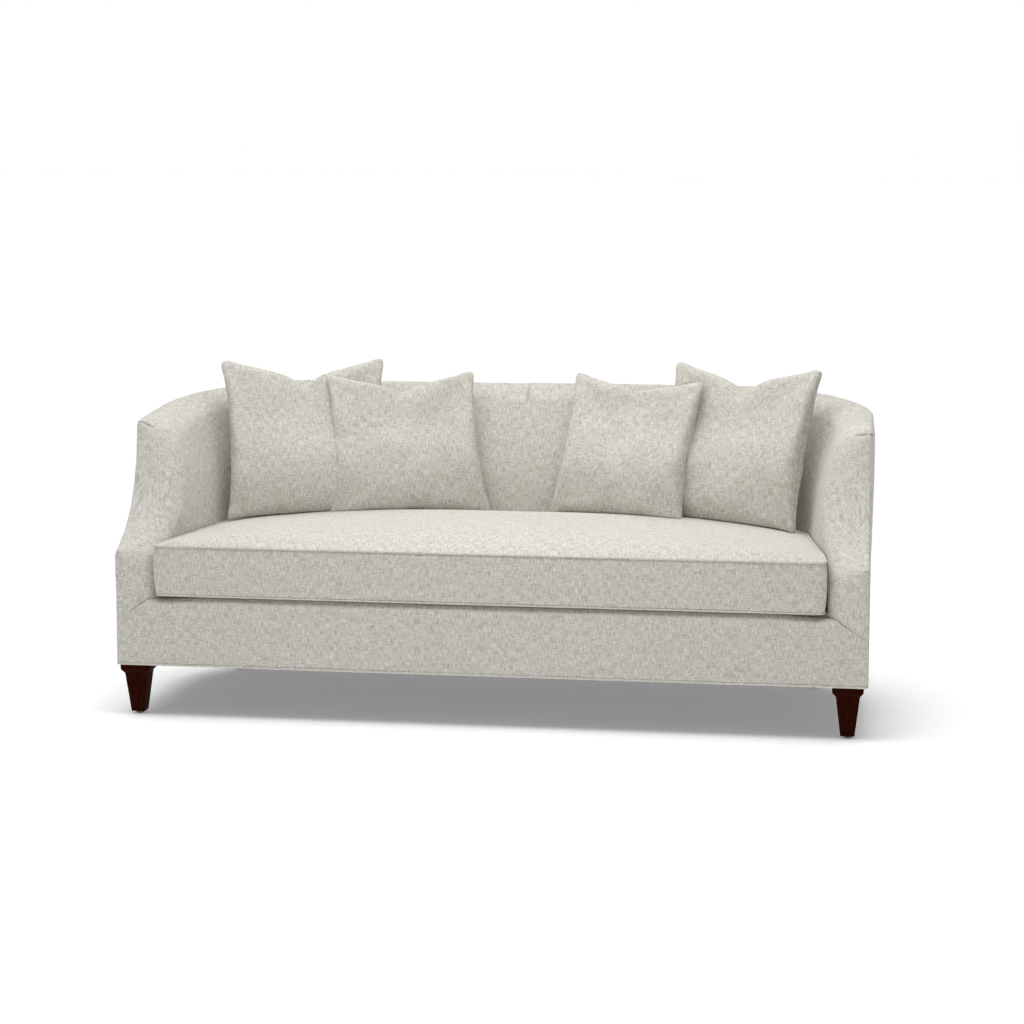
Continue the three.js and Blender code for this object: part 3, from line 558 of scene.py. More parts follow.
for name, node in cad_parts.items():
    finish = frame_hardwood
    if name.startswith("seat_spring") or name.endswith(("bolt_right", "bolt_left")):
        finish = spring_steel
    if name == "dust_cover":
        finish = dust_lining
    node.data.materials.clear()
    node.data.materials.append(finish)

# Inner cover: the padded wall's skin, from the outer edge over the roll and down the inner face

EDGE_ANGLES = np.linspace(0, math.pi / 2, EDGE_RING_COUNT)
ROLL_ANGLES = np.linspace(0, math.pi / 2, ROLL_RING_COUNT)[1:]
# Each ring of the wrap: its depth behind the outer line, its share of the way from there to the inner face,
# and its inset from the outline
TUCK_RINGS = [(TUCK, 0, SEAM_INSET + TUCK_STEP), (TUCK_EASE, 0, SEAM_INSET - TUCK_STEP),
              (0, 0, SEAM_INSET - TUCK_RUN)]
EDGE_RINGS = [(EDGE_RADIUS * (1 - math.cos(a)), 0, EDGE_RADIUS * (1 - math.sin(a))) for a in EDGE_ANGLES]
ROLL_RINGS = [(EDGE_RADIUS, math.sin(a), ROLL_DROP * (1 - math.cos(a))) for a in ROLL_ANGLES]
WRAP = np.array([*TUCK_RINGS, *EDGE_RINGS, *ROLL_RINGS])
INNER_SWELL = (0.0011, 0.075)
DECK_TUCK = 0.004
FOOT_REACH = 0.12
DRIFT_REACH = 0.03
WALL_SAMPLES = 400
WALL_SAMPLE_HEIGHT = 0.6
CORNER_ROUNDING = 0.036
EDGE_ROUNDING = 0.004
SWEEP_FULLNESS = 1.45
SHOULDER_DROP = 0.014
SHOULDER_RISE = 0.025
SHOULDER_TURN = 0.035
SHOULDER_FLOOR = 0.60
LEFT_REACH = 0.10
RIGHT_REACH = 0.24
WAIST_DRAW = 0.001
WAIST_HEIGHT = 0.34
WAIST_SPAN = 0.11
WAIST_REACH = 0.10


def laid(patches):
    """Lays the cover as on this sofa: low shoulders, a higher right arm behind, the left side drawn in."""
    moved = []
    for points, faces, uvs in patches:
        height = eased((points[:, 2] - SHOULDER_FLOOR) / (ARM_HEIGHT - SHOULDER_FLOOR))
        behind = np.maximum(points[:, 1] + HALF_DEPTH - SWEEP_DEPTH, 0)
        right = SHOULDER_RISE * np.exp(-behind / RIGHT_REACH)
        right -= (SHOULDER_RISE + SHOULDER_DROP) * np.exp(-behind / SHOULDER_TURN)
        lift = np.where(points[:, 0] > 0, right, -SHOULDER_DROP * np.exp(-behind / LEFT_REACH))
        waist = np.exp(-((points[:, 2] - WAIST_HEIGHT) / WAIST_SPAN) ** 2)
        waist = waist * (1 - eased((HALF_WIDTH + points[:, 0]) / WAIST_REACH))
        points = points.copy()
        points[:, 2] += lift * height
        points[:, 0] += WAIST_DRAW * waist * (1 - eased((points[:, 1] + HALF_DEPTH) / ARM_DEPTH))
        moved.append((points, faces, uvs))
    return moved


def outline(inset, bottom):
    """The side outline of the arm and back, moved inward, as runs and heights."""
    first, last = sweep_ends(inset)
    elbow, shoulder = sweep_points([first, last], inset)
    front = np.stack([np.full(FRONT_ROWS, inset), lerp(bottom, elbow[1], crowded(FRONT_ROWS)[:-1])], axis=1)
    swept = sweep_points(lerp(first, last, crowded(SWEEP_STEPS)), inset)
    arm_top = lerp(shoulder[0], ARM_RUN, np.linspace(0, 1, ARM_TOP_STEPS + 1)[1:] ** ARM_TOP_CROWDING)
    behind = through([ARM_RUN, BACK_RUN, HALF_RUN], (CORNER_STEPS + 1, BACK_STEPS + 1))[1:]
    runs = np.concatenate([arm_top, behind])
    return np.vstack([front, swept, np.stack([runs, top_height(runs) - inset], axis=1)])


def roll_lines():
    """The rings of the roll, which is fuller along the swept front than on the back."""
    lines = []
    for base, share, inset in WRAP:
        inward = base + share * (seat_thickness(inset) - EDGE_RADIUS)
        bottom = seam_height(float(plan(inset, inward)[0])) - SEAM_TUCK
        line = outline(inset, bottom)
        if share > 0:
            fuller = outline(inset * SWEEP_FULLNESS, bottom)
            rise = eased((line[:, 1] - SEAT_LEVEL) / (SHOULDER_FLOOR - SEAT_LEVEL))
            fall = 1 - eased((line[:, 0] - SWEEP_DEPTH) / (ARM_RUN - SWEEP_DEPTH))
            line = lerp(line, fuller, (rise * fall)[:, None])
        rounding = lerp(EDGE_ROUNDING, CORNER_ROUNDING, eased(share / 0.5))
        lines.append(rounded(line, rounding))
    return np.array(lines)


def surface_normals(points):
    """Outward normals of a grid whose rows run from the outer edge inward."""
    along = np.gradient(points, axis=1)
    across = np.gradient(points, axis=0)
    normals = np.cross(along, across)
    return normals / np.linalg.norm(normals, axis=-1, keepdims=True).clip(1e-9)


def stitched(points, station, length):
    """Draws the cloth in along a station's line, for a length from the outer edge."""
    normals = surface_normals(points)
    across = lengths(points[:, station])
    fade = 1 - eased((across / length - STITCH_HOLD) / (1 - STITCH_HOLD))
    for ring in range(len(points)):
        along = lengths(points[ring])
        away = along - along[station]
        pull = STITCH_DEPTH * fade[ring] * np.exp(-(away / STITCH_REACH) ** 2)
        points[ring] -= normals[ring] * pull[:, None]
    return points


def inner_cover():
    """The roll over the top and swept fronts, and the face below it, down to the platform."""
    lines = roll_lines()
    runs, heights = lines[..., 0], lines[..., 1]
    base, share = WRAP[:, :1], WRAP[:, 1:2]
    roll = placed(runs, heights, base + share * (inner_face(runs, heights) - EDGE_RADIUS))
    elbow, shoulder = FRONT_ROWS, FRONT_ROWS + SWEEP_STEPS

    top = lines[-1, elbow:]
    left = lines[-1, elbow::-1]
    fall = 1 - crowded(FRONT_ROWS)[::-1]
    from_elbow = top[:, 0] - top[0, 0]
    bottom = lerp(left[-1, 1], DECK_TOP - DECK_TUCK, eased(from_elbow / FOOT_REACH))
    drift = (left[:, 0] - top[0, 0])[:, None] * np.exp(-from_elbow / DRIFT_REACH)
    face_runs = top[:, 0] + drift
    face_heights = lerp(top[:, 1], bottom, fall[:, None])
    face_runs[:, 0], face_heights[:, 0] = left[:, 0], left[:, 1]
    face = placed(face_runs, face_heights, inner_face(face_runs, face_heights))

    wall_runs = np.linspace(0, HALF_RUN, WALL_SAMPLES)
    wall_lengths = lengths(placed(wall_runs, 0.0, inner_face(wall_runs, WALL_SAMPLE_HEIGHT)))

    def from_middle(run):
        return wall_lengths[-1] - np.interp(run, wall_runs, wall_lengths)

    slope = np.gradient(lines[-1], axis=0)
    slope /= np.linalg.norm(slope, axis=1, keepdims=True)
    steps = np.linalg.norm(np.diff(roll, axis=0), axis=2)
    arc = np.vstack([np.cumsum(steps[::-1], axis=0)[::-1], np.zeros(roll.shape[1])])
    roll_uv = np.stack([from_middle(runs[-1]) + slope[:, 1] * arc, heights[-1] + slope[:, 0] * arc], axis=-1)
    face_uv = np.stack([from_middle(face_runs), face_heights], axis=-1)

    roll = stitched(roll, shoulder, MITRE_LENGTH)
    roll = stitched(roll, elbow, ELBOW_LENGTH)
    above = roll[..., 2] - roll[:, :1, 2]
    pull = SEAM_TUCK * np.exp(-(above / SEAM_TUCK) ** 2) * (np.arange(roll.shape[1]) < elbow)
    roll -= surface_normals(roll) * pull[..., None]
    face[:, 0] = roll[-1, elbow::-1]
    face[0] = roll[-1, elbow:]
    patches = laid(both_sides(grid(roll, roll_uv), grid(face, face_uv)))
    cover = make_piece("inner_cover", patches, "root", cover_linen)
    softened(cover, *INNER_SWELL)
    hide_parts("inside_back", "inside_arm_right", "inside_arm_left",
                "inside_corner_right", "inside_corner_left")
    backed(cover)


inner_cover()

# Outside covers, and the welts along their edges

PANEL_ROWS = 34
PANEL_BOTTOM = COVER_BOTTOM + 0.0045
PANEL_TUCK_REACH = 0.0035
PANEL_SWELL = 0.006
PANEL_SWELL_REACH = 0.06
PANEL_SWELL_LOW = 0.42
PANEL_SWELL_HIGH = 0.72
PANEL_PADDING = (0.0008, 0.12)
PANEL_CLOTH_START = (7.3, 2.1)
ARM_WELT_COUNTS = (30, 120)


def outside_panel(name, node, stations, whole=False, side=1):
    """An outside cover over some stations of the outline, tucked in along its edges."""
    rim = outline(SEAM_INSET, PANEL_BOTTOM)
    edge = rim[FRONT_ROWS:][stations]
    runs = np.broadcast_to(edge[:, 0], (PANEL_ROWS + 1, len(edge)))
    heights = lerp(PANEL_BOTTOM, edge[:, 1], crowded(PANEL_ROWS)[:, None])
    flat = np.stack([runs, heights], axis=-1)
    front_rim = rim[:FRONT_ROWS + SWEEP_STEPS + 2]
    away = np.linalg.norm(flat[:, :, None] - front_rim, axis=-1).min(axis=2)
    for other in (heights - PANEL_BOTTOM, edge[:, 1] - heights, np.abs(runs - BACK_RUN)):
        away = np.minimum(away, other)
    swell = eased(away / PANEL_SWELL_REACH)
    swell = swell * eased((heights - PANEL_SWELL_LOW) / (PANEL_SWELL_HIGH - PANEL_SWELL_LOW))
    inward = TUCK * np.exp(-(away / PANEL_TUCK_REACH) ** 2) - PANEL_SWELL * swell
    patch = grid(placed(runs, heights, inward), np.stack([-runs, heights], axis=-1), flip=True)
    patches = both_sides(patch) if whole else [patch if side > 0 else mirrored(patch)]
    panel = make_piece(name, laid(patches), "root", cover_linen, PANEL_CLOTH_START)
    softened(panel, *PANEL_PADDING)
    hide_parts(node)
    backed(panel)


LAST_ARM_STATION = SWEEP_STEPS + ARM_TOP_STEPS + CORNER_STEPS
ARM_STATIONS = slice(0, LAST_ARM_STATION + 1)
for side, direction in (("right", 1), ("left", -1)):
    outside_panel(f"outer_cover_{side}", f"outside_arm_{side}", ARM_STATIONS, side=direction)
outside_panel("outer_cover_back", "outside_back", slice(LAST_ARM_STATION, None), whole=True)


def whole_path(half):
    """A path round both halves, from the right front to the left front."""
    left = (half * [-1, 1, 1])[::-1]
    return np.vstack([half, left[1:]])


def spaced(path, step):
    """The same path with its points evenly spaced."""
    along = lengths(path)
    even = np.linspace(0, along[-1], int(along[-1] / step) + 1)
    return np.stack([np.interp(even, along, path[:, i]) for i in range(3)], axis=1)


def edge_welt():
    line = rounded(outline(SEAM_INSET, COVER_BOTTOM + BOTTOM_WELT_RADIUS), EDGE_ROUNDING)
    path = spaced(whole_path(placed(line[:, 0], line[:, 1], WELT_SINK)), WELT_STEP)
    patches = laid(cord_patch(path, WELT_RADIUS))
    make_piece("edge_welt", patches, "root", cover_linen)


def bottom_welt():
    angles = np.linspace(math.pi / 2, 0, CORNER_POINTS)
    height = COVER_BOTTOM + BOTTOM_WELT_RADIUS
    turned = placed(EDGE_RADIUS * (1 - np.sin(angles)) + BOTTOM_WELT_SINK, height,
                    EDGE_RADIUS * (1 - np.cos(angles)) + BOTTOM_WELT_SINK)
    front_x = np.linspace(0, HALF_WIDTH - EDGE_RADIUS, FRONT_POINTS)[:-1]
    front = [(x, BOTTOM_WELT_SINK - HALF_DEPTH, height) for x in front_x]
    runs = through([2 * EDGE_RADIUS, ARM_RUN, HALF_RUN], ARM_WELT_COUNTS)
    path = whole_path(np.vstack([front, turned, placed(runs, height, BOTTOM_WELT_SINK)]))
    patches = cord_patch(spaced(path, WELT_STEP)[:-1], BOTTOM_WELT_RADIUS, closed=True)
    make_piece("bottom_welt", patches, "root", cover_linen)


edge_welt()
bottom_welt()

# Front border: over the front rail, rolled over its top, with a slanted seam at each arm

BORDER_FACE_ROWS = 24
BORDER_ROLL_ROWS = 12
BORDER_BLEND = 0.040
BORDER_TOP_BLEND = 0.150
# The lower edge turns in behind the bottom welt: depths and heights above the cover's bottom
BORDER_TUCK = [(0.0045, 0.0045), (0.0022, 0.0062), (0.0006, 0.0082)]
BORDER_FACE_START = 0.0105
# The upper edge turns down in front of the platform: depths behind the roll and drops below its top
BORDER_END = [(0.0015, 0.0006), (0.0045, 0.0050)]
BORDER_COUNTS = (50, 16, 14, 36)
BORDER_PADDING = (0.0009, 0.10)
BORDER_CLOTH_START = (3.7, 5.2)


def border_cover():
    marks = [0, SEAM_INNER_X - BORDER_TOP_BLEND, SEAM_INNER_X - BORDER_BLEND, SEAM_INNER_X,
             HALF_WIDTH - EDGE_RADIUS]
    x = through(marks, BORDER_COUNTS)[:-1]
    turned = WRAP[:len(TUCK_RINGS) + len(EDGE_RINGS)][::-1]
    angles = np.concatenate([EDGE_ANGLES[::-1], np.zeros(len(TUCK_RINGS))])
    corner_x, corner_y = plan(turned[:, 2], turned[:, 0])
    out_x = np.concatenate([np.zeros_like(x), np.cos(angles)])
    out_y = np.concatenate([-np.ones_like(x), -np.sin(angles)])
    face_y = np.concatenate([np.full_like(x, -HALF_DEPTH), corner_y])
    x = np.concatenate([x, corner_x])

    into_arm = np.clip((HALF_WIDTH - EDGE_RADIUS - x) / (ARM_FRONT_THICKNESS - EDGE_RADIUS), 0, 1)
    arm_reach = ROLL_DROP * (1 - np.sqrt(1 - into_arm ** 2))
    reach = lerp(BORDER_REACH, arm_reach, eased((x - SEAM_INNER_X + BORDER_BLEND) / BORDER_BLEND))
    top = lerp(BORDER_HEIGHT, seam_height(x), eased((x - SEAM_INNER_X + BORDER_TOP_BLEND) / BORDER_TOP_BLEND))
    roll_in = np.minimum(BORDER_ROLL, reach)
    roll_down = BORDER_ROLL * np.sqrt(np.clip(reach / BORDER_REACH, 0.03, 1))

    def row(depth, height):
        return np.stack([np.broadcast_to(depth, x.shape), np.broadcast_to(height, x.shape)])

    rows = [row(depth, COVER_BOTTOM + up) for depth, up in BORDER_TUCK]
    for share in np.linspace(0, 1, BORDER_FACE_ROWS + 1):
        rows.append(row(0, lerp(COVER_BOTTOM + BORDER_FACE_START, top - roll_down, share)))
    for angle in np.linspace(0, math.pi / 2, BORDER_ROLL_ROWS + 1)[1:]:
        rows.append(row(roll_in * (1 - math.cos(angle)), top - roll_down * (1 - math.sin(angle))))
    rows += [row(reach + depth, top - drop) for depth, drop in BORDER_END]
    section = np.array(rows)
    depth, height = section[:, 0], section[:, 1]
    points = np.stack([x - out_x * depth, face_y - out_y * depth, height], axis=-1)
    along = np.vstack([np.zeros(len(x)), np.cumsum(np.linalg.norm(np.diff(points, axis=0), axis=2), axis=0)])
    across = np.broadcast_to(lengths(np.column_stack([x, face_y])), along.shape)
    border = make_piece("border_cover", laid(both_sides(grid(points, np.stack([across, along], axis=-1)))),
                        "root", cover_linen, BORDER_CLOTH_START)
    softened(border, *BORDER_PADDING)
    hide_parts("front_border")
    backed(border)


border_cover()

# Seat platform and bench cushion

CUSHION_CENTRE = np.array([0.0, -SEAT_THICKNESS / 2])
SEAT_BACK_STEPS = 40
SEAT_COUNTS = (30, 60, SEAT_BACK_STEPS + 1)
PLATFORM_INWARD = 0.0383
PLATFORM_GAP = 0.0006
PLATFORM_CORNER = 0.004
PLATFORM_REACH = 0.5
PLATFORM_BOTTOM = DECK_BOTTOM + 0.001
# Rings round the platform's edge: insets and drops below its top
PLATFORM_EDGE = [(0.004, 0.016), (0.0005, 0.012), (0.0, 0.006), (0.0015, 0.002), (0.006, 0.0004)]


def plan_outline(inward, front, corner):
    """A closed line round the seat, from its front right corner: the plan line moved inward by a function
    of the run, then straight along the front."""
    turn = np.linspace(0, math.pi / 2, CORNER_POINTS)
    runs = front + corner * (1 - np.cos(turn))
    x = plan(runs, inward(runs))[0]
    corner_points = np.stack([x - corner * (1 - np.sin(turn)), runs - HALF_DEPTH], axis=1)
    runs = through([front + corner, ARM_RUN, BACK_RUN, HALF_RUN], SEAT_COUNTS)[1:]
    right = np.vstack([corner_points, np.stack(plan(runs, inward(runs)), axis=1)])
    left = (right * [-1, 1])[::-1][1:]
    front_x = np.linspace(-right[0, 0], right[0, 0], 2 * SEAT_BACK_STEPS + 1)[1:-1]
    return np.vstack([right, left, [(x, front - HALF_DEPTH) for x in front_x]])


def closed_rings(rings, uvs=None):
    """A patch of closed rings, each joined to the next. Its cloth lies flat where no places are given."""
    points = np.array([looped(ring) for ring in rings])
    return grid(points, points[..., :2] if uvs is None else uvs)


def filled(ring, height, flip=False):
    """Closes the innermost ring with one point in its middle."""
    middle = np.append(ring[:, :2].mean(axis=0), height)
    points = np.vstack([ring, middle])
    count = len(ring)
    faces = [(i, (i + 1) % count, count) for i in range(count)]
    return points, [face[::-1] for face in faces] if flip else faces, points[:, :2]


def raised(line, heights):
    return np.column_stack([line, np.broadcast_to(heights, len(line))])


def shrunk(edge, share):
    return CUSHION_CENTRE + (edge - CUSHION_CENTRE) * share


def seat_platform():
    def inward(run):
        return np.full_like(run, PLATFORM_INWARD)

    edge = plan_outline(inward, BORDER_REACH + PLATFORM_GAP, PLATFORM_CORNER)
    bottom = [raised(shrunk(edge, share), PLATFORM_BOTTOM) for share in (0.15, 0.6, 0.985)]
    rim = [raised(shrunk(edge, 1 - inset / PLATFORM_REACH), DECK_TOP - drop) for inset, drop in PLATFORM_EDGE]
    top = [raised(shrunk(edge, share), DECK_TOP) for share in (0.9, 0.7, 0.4, 0.15)]
    patches = [closed_rings([*bottom, *rim, *top]), filled(top[-1], DECK_TOP),
               filled(bottom[0], PLATFORM_BOTTOM, flip=True)]
    platform = make_piece("seat_platform", patches, "root", decking)
    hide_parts("seat_deck")


seat_platform()

CUSHION_INSET = 0.006
CORNER_SPAN = 0.06
CUSHION_UNDERSIDE = CUSHION_BOTTOM + 0.0001
CUSHION_WELT_LIFT = 0.0006
# The rings of the crown end short of the middle and crowd together next to the seam
CROWN_SPREAD = 0.97
CROWN_CROWDING = 1.9
CROWN_DIP = 0.0018
CROWN_DIP_REACH = 0.0022
CROWN_GATHER = 0.0008
CROWN_GATHER_SIZE = 0.016
CROWN_GATHER_REACH = 0.022
BOXING_ROUNDNESS = 0.55
BOXING_TUCK_REACH = 0.003
BOXING_GATHER = 0.0011
BOXING_GATHER_SIZE = 0.018
BOXING_GATHER_REACH = 0.02


def crown_height(share, reach, x):
    """The crown's height at a share of the way out. It holds longer where the edge is far."""
    power = CROWN_POWER * (reach / FRONT_REACH) ** 0.8
    crown = CUSHION_CROWN + CROWN_OVERFILL + MIDDLE_CROWN * np.exp(-(x / MIDDLE_SPAN) ** 2)
    return SEAT_LEVEL + crown * (1 - share ** power)


def flared(line):
    """Lets the front corners stand out, where the arms round away from them."""
    front = np.exp(-((line[:, 1] + HALF_DEPTH) / FLARE_REACH) ** 2)
    front = front * eased((np.abs(line[:, 0]) - SEAM_INNER_X + FLARE_SPAN) / FLARE_SPAN)
    out = np.where(line[:, 0] > 0, FLARE_RIGHT, -FLARE_LEFT)
    return line + np.column_stack([out * front, np.zeros(len(line))])


def cushion_outline(inset):
    def inward(run):
        return seat_thickness(run) + CUSHION_CLEARANCE + inset

    return flared(plan_outline(inward, CUSHION_SETBACK + inset, CUSHION_CORNER))


CUSHION_EDGE = cushion_outline(CUSHION_INSET)


def cushion_top(x, y):
    """Height of the bench cushion's top above the floor."""
    outward = CUSHION_EDGE - CUSHION_CENTRE
    bearings = np.arctan2(outward[:, 1], outward[:, 0])
    order = np.argsort(bearings)
    reaches = np.linalg.norm(outward, axis=1)[order]
    bearing = np.arctan2(y - CUSHION_CENTRE[1], x - CUSHION_CENTRE[0])
    reach = np.interp(bearing, bearings[order], reaches, period=2 * math.pi)
    share = np.hypot(x - CUSHION_CENTRE[0], y - CUSHION_CENTRE[1]) / reach
    return crown_height(np.clip(share, 0, 1), reach, x)


def puckers(ring, height, size, seed):
    """Small gathers along a seam."""
    return np.array([height * noise.noise(Vector((s / size, seed, 0))) for s in lengths(ring)])


def bench_cushion():
    edge = CUSHION_EDGE
    reaches = np.linalg.norm(edge - CUSHION_CENTRE, axis=1)
    top_rings = []
    for share in 1 - CROWN_SPREAD * np.linspace(0, 1, CUSHION_RINGS) ** CROWN_CROWDING:
        line = shrunk(edge, share)
        ring = raised(line, crown_height(share, reaches, line[:, 0]))
        away = (1 - share) * FRONT_REACH
        gathers = puckers(ring, CROWN_GATHER, CROWN_GATHER_SIZE, 1.3)
        ring[:, 2] += gathers * math.exp(-away / CROWN_GATHER_REACH)
        ring[:, 2] -= CROWN_DIP * math.exp(-(away / CROWN_DIP_REACH) ** 2)
        top_rings.append(ring)
    patches = [closed_rings(top_rings), filled(top_rings[-1], crown_height(0, FRONT_REACH, 0))]

    outward = cushion_outline(0.0) - edge
    outward /= np.linalg.norm(outward, axis=1, keepdims=True).clip(1e-9)
    behind, aside = edge[:, 1] + HALF_DEPTH, np.abs(edge[:, 0]) - SEAM_INNER_X
    corner = np.exp(-(behind / CORNER_SPAN) ** 2 - (aside / CORNER_SPAN) ** 2)
    bottom_edge = edge - outward * (BOTTOM_DRAW * corner)[:, None]
    tall = SEAT_LEVEL - CUSHION_BOTTOM
    boxing = [raised(bottom_edge, CUSHION_BOTTOM + CUSHION_FOOT)]
    for share in crowded(BOXING_ROWS)[1:-1]:
        ends = share * tall, (1 - share) * tall
        swell = BOXING_BULGE * (1 - (2 * share - 1) ** 2) ** BOXING_ROUNDNESS
        swell = swell - BOTTOM_DRAW * corner * (1 - share) ** 2
        seam = BOXING_TUCK * sum(math.exp(-(away / BOXING_TUCK_REACH) ** 2) for away in ends)
        near = sum(math.exp(-away / BOXING_GATHER_REACH) for away in ends)
        seed = 5.1 if share > 0.5 else 7.7
        gathers = puckers(raised(edge, 0), BOXING_GATHER * near, BOXING_GATHER_SIZE, seed)
        line = edge + outward * (swell - seam + gathers)[:, None]
        boxing.append(raised(line, lerp(CUSHION_BOTTOM + CUSHION_FOOT, top_rings[0][:, 2], share)))
    boxing.append(top_rings[0])
    along = lengths(looped(edge))
    patches.append(closed_rings(boxing, [np.stack([along, looped(ring)[:, 2]], axis=1) for ring in boxing]))

    under = [raised(shrunk(bottom_edge, share), CUSHION_UNDERSIDE) for share in (0.15, 0.5, 0.85, 0.97, 0.99)]
    under.append(boxing[0])
    patches += [closed_rings(under), filled(under[0], CUSHION_UNDERSIDE, flip=True)]
    cushion = make_piece("bench_cushion", patches, "seat_cushion", cushion_linen)
    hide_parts("seat_cushion")

    proud = raised(outward * CUSHION_WELT_PROUD, CUSHION_WELT_LIFT)
    for name, seam_ring in (("cushion_top_welt", top_rings[0]), ("cushion_bottom_welt", boxing[0])):
        welt = cord_patch(seam_ring + proud, CUSHION_WELT, closed=True)
        make_piece(name, welt, "seat_cushion", cushion_linen)


bench_cushion()

# Throw pillows: two sewn panels with a sunk welt, filled by a cloth simulation and set in place

PILLOW_CELLS = 40
PILLOW_LINES = 18
PILLOW_WELT = 0.0020
# How far the mesh lines next to the seam lie from it
RIM_LINES = (0.0, 0.0008, 0.0020, 0.0036, 0.0058, 0.0085, 0.013, 0.019, 0.027, 0.038)
FOLD_RADIUS = 0.0085
SIDE_FOLD = 0.017
TOP_FOLD = 0.011
FOLD_REACH = 0.035
SEAM_SINK = 0.0060
SEAM_SINK_REACH = 0.0050
EAR_STAND = 0.013
EAR_SPAN = 0.034
SLUMP = 0.30
SLUMP_REACH = 0.03
DENT_DEPTH = 0.0090
DENT_REACH = 0.06
NOTCH_SPAN = 0.17
NOTCH_ROUNDING = 0.03
TOP_THINNING = 0.28
TOP_THINNING_SPAN = 0.20
VALLEY_DEPTH = 0.008
VALLEY_SPAN = 0.12
VALLEY_SPREAD = 0.30
VALLEY_REACH = 0.03
PILLOW_EAR = 0.026
PILLOW_CUT = 1.03
PILLOW_GAP = 0.0006
PILLOW_WELT_GAP = 0.0003
PRESS_SOFTNESS = 0.006
START_CROWN = 0.040
START_WOBBLE = 0.15
RELAX_PASSES = 6
SIMULATED_FRAMES = 8
# The cloth of the panels while they are filled
FILLING = dict(quality=6, mass=0.3, tension_stiffness=40, compression_stiffness=40, shear_stiffness=20,
               bending_stiffness=12, tension_damping=5, compression_damping=5, shear_damping=5,
               use_pressure=True, uniform_pressure_force=5.0)

# Sizes and thicknesses are halves, and angles are in degrees. The chop and its narrower notch are depths in
# the top edge. Each side comes in by the taper at the top, and the top moves to the left by the skew. The
# bottom does the opposite of both.
PILLOWS = {
    "rear_left": dict(size=(0.241, 0.234), thickness=0.056, place=(-0.645, 0.163, 0.737), yaw=22.1,
                      lean=16.0, roll=0.4, chop=0.036, notch=0.028, taper=0.0, skew=0.0),
    "rear_right": dict(size=(0.236, 0.234), thickness=0.056, place=(0.647, 0.186, 0.736), yaw=-24.5,
                       lean=16.1, roll=0.0, chop=0.036, notch=0.028, taper=0.0, skew=-0.0065),
    "front_left": dict(size=(0.226, 0.209), thickness=0.052, place=(-0.351, 0.214, 0.720), yaw=14.7,
                       lean=14.5, roll=-1.0, chop=0.032, notch=0.012, taper=0.010, skew=0.0075),
    "front_right": dict(size=(0.200, 0.209), thickness=0.052, place=(0.325, 0.215, 0.720), yaw=-13.6,
                        lean=18.2, roll=2.0, chop=0.030, notch=0.002, taper=0.003, skew=-0.0070),
}


def sewn_panels(half_width, half_height, seed):
    """Two panels that share their rim, with rounded corners and a first crown."""
    count = PILLOW_CELLS + 1
    line = np.linspace(-1, 1, count)
    u, v = np.meshgrid(line, line)
    x, y = u * half_width, v * half_height
    into_x = np.abs(x) - (half_width - PILLOW_EAR)
    into_y = np.abs(y) - (half_height - PILLOW_EAR)
    both = (into_x > 0) & (into_y > 0)
    scale = np.where(both, np.maximum(into_x, into_y) / np.hypot(into_x, into_y).clip(1e-9), 1)
    x = np.where(both, np.sign(x) * (half_width - PILLOW_EAR + into_x * scale), x)
    y = np.where(both, np.sign(y) * (half_height - PILLOW_EAR + into_y * scale), y)
    crown = START_CROWN * ((1 - u * u) * (1 - v * v)) ** 0.6
    wobble = np.array([[noise.noise(Vector((a * 3, b * 3, seed * 5.3))) for a in line] for b in line])
    front = np.stack([x, y, crown * (1 + START_WOBBLE * wobble)], axis=-1)
    back = np.stack([x, y, -crown * (1 - START_WOBBLE * wobble)], axis=-1)
    index = np.arange(count * count).reshape(count, count)
    rim = np.ones((count, count), bool)
    rim[1:-1, 1:-1] = False
    back_index = np.where(rim, index, 0)
    back_index[~rim] = count * count + np.arange((~rim).sum())
    points = np.vstack([front.reshape(-1, 3), back[~rim]])
    faces = []
    for table, turn in ((index, 1), (back_index, -1)):
        for row, column in np.ndindex(PILLOW_CELLS, PILLOW_CELLS):
            lower, upper = table[row, column:column + 2], table[row + 1, column:column + 2]
            quad = [*lower, *upper[::-1]]
            faces.append(tuple(int(i) for i in quad[::turn]))
    return points, faces, (index, back_index), index[rim]


def filled_shape(name, points, faces):
    """Blows the sewn panels up with a short cloth simulation."""
    mesh = bpy.data.meshes.new(name)
    mesh.from_pydata([tuple(p) for p in points], [], faces)
    piece = shown(name, mesh)
    cloth = piece.modifiers.new("filling", "CLOTH")
    for key, value in FILLING.items():
        setattr(cloth.settings, key, value)
    cloth.settings.effector_weights.gravity = 0
    cloth.collision_settings.use_collision = False
    cloth.collision_settings.use_self_collision = False
    cloth.point_cache.frame_end = SIMULATED_FRAMES + 1
    scene = bpy.context.scene
    for frame_number in range(1, SIMULATED_FRAMES + 1):
        scene.frame_set(frame_number)
    shaped = piece.evaluated_get(bpy.context.evaluated_depsgraph_get()).to_mesh()
    moved = np.array([vertex.co[:] for vertex in shaped.vertices])
    bpy.data.objects.remove(piece)
    bpy.data.meshes.remove(mesh)
    scene.frame_set(1)
    return moved


def relaxed(points, faces, held):
    """Smooths the creases away, all but along the held rim."""
    pairs = np.array([(face[i], face[i - 1]) for face in faces for i in range(len(face))])
    count = np.bincount(pairs.ravel(), minlength=len(points))
    free = np.ones(len(points), bool)
    free[held] = False
    for _ in range(RELAX_PASSES):
        total = np.zeros_like(points)
        for here, there in (pairs.T, pairs.T[::-1]):
            np.add.at(total, here, points[there])
        mean = total / count[:, None]
        points[free] += 0.5 * (mean[free] - points[free])
    return points


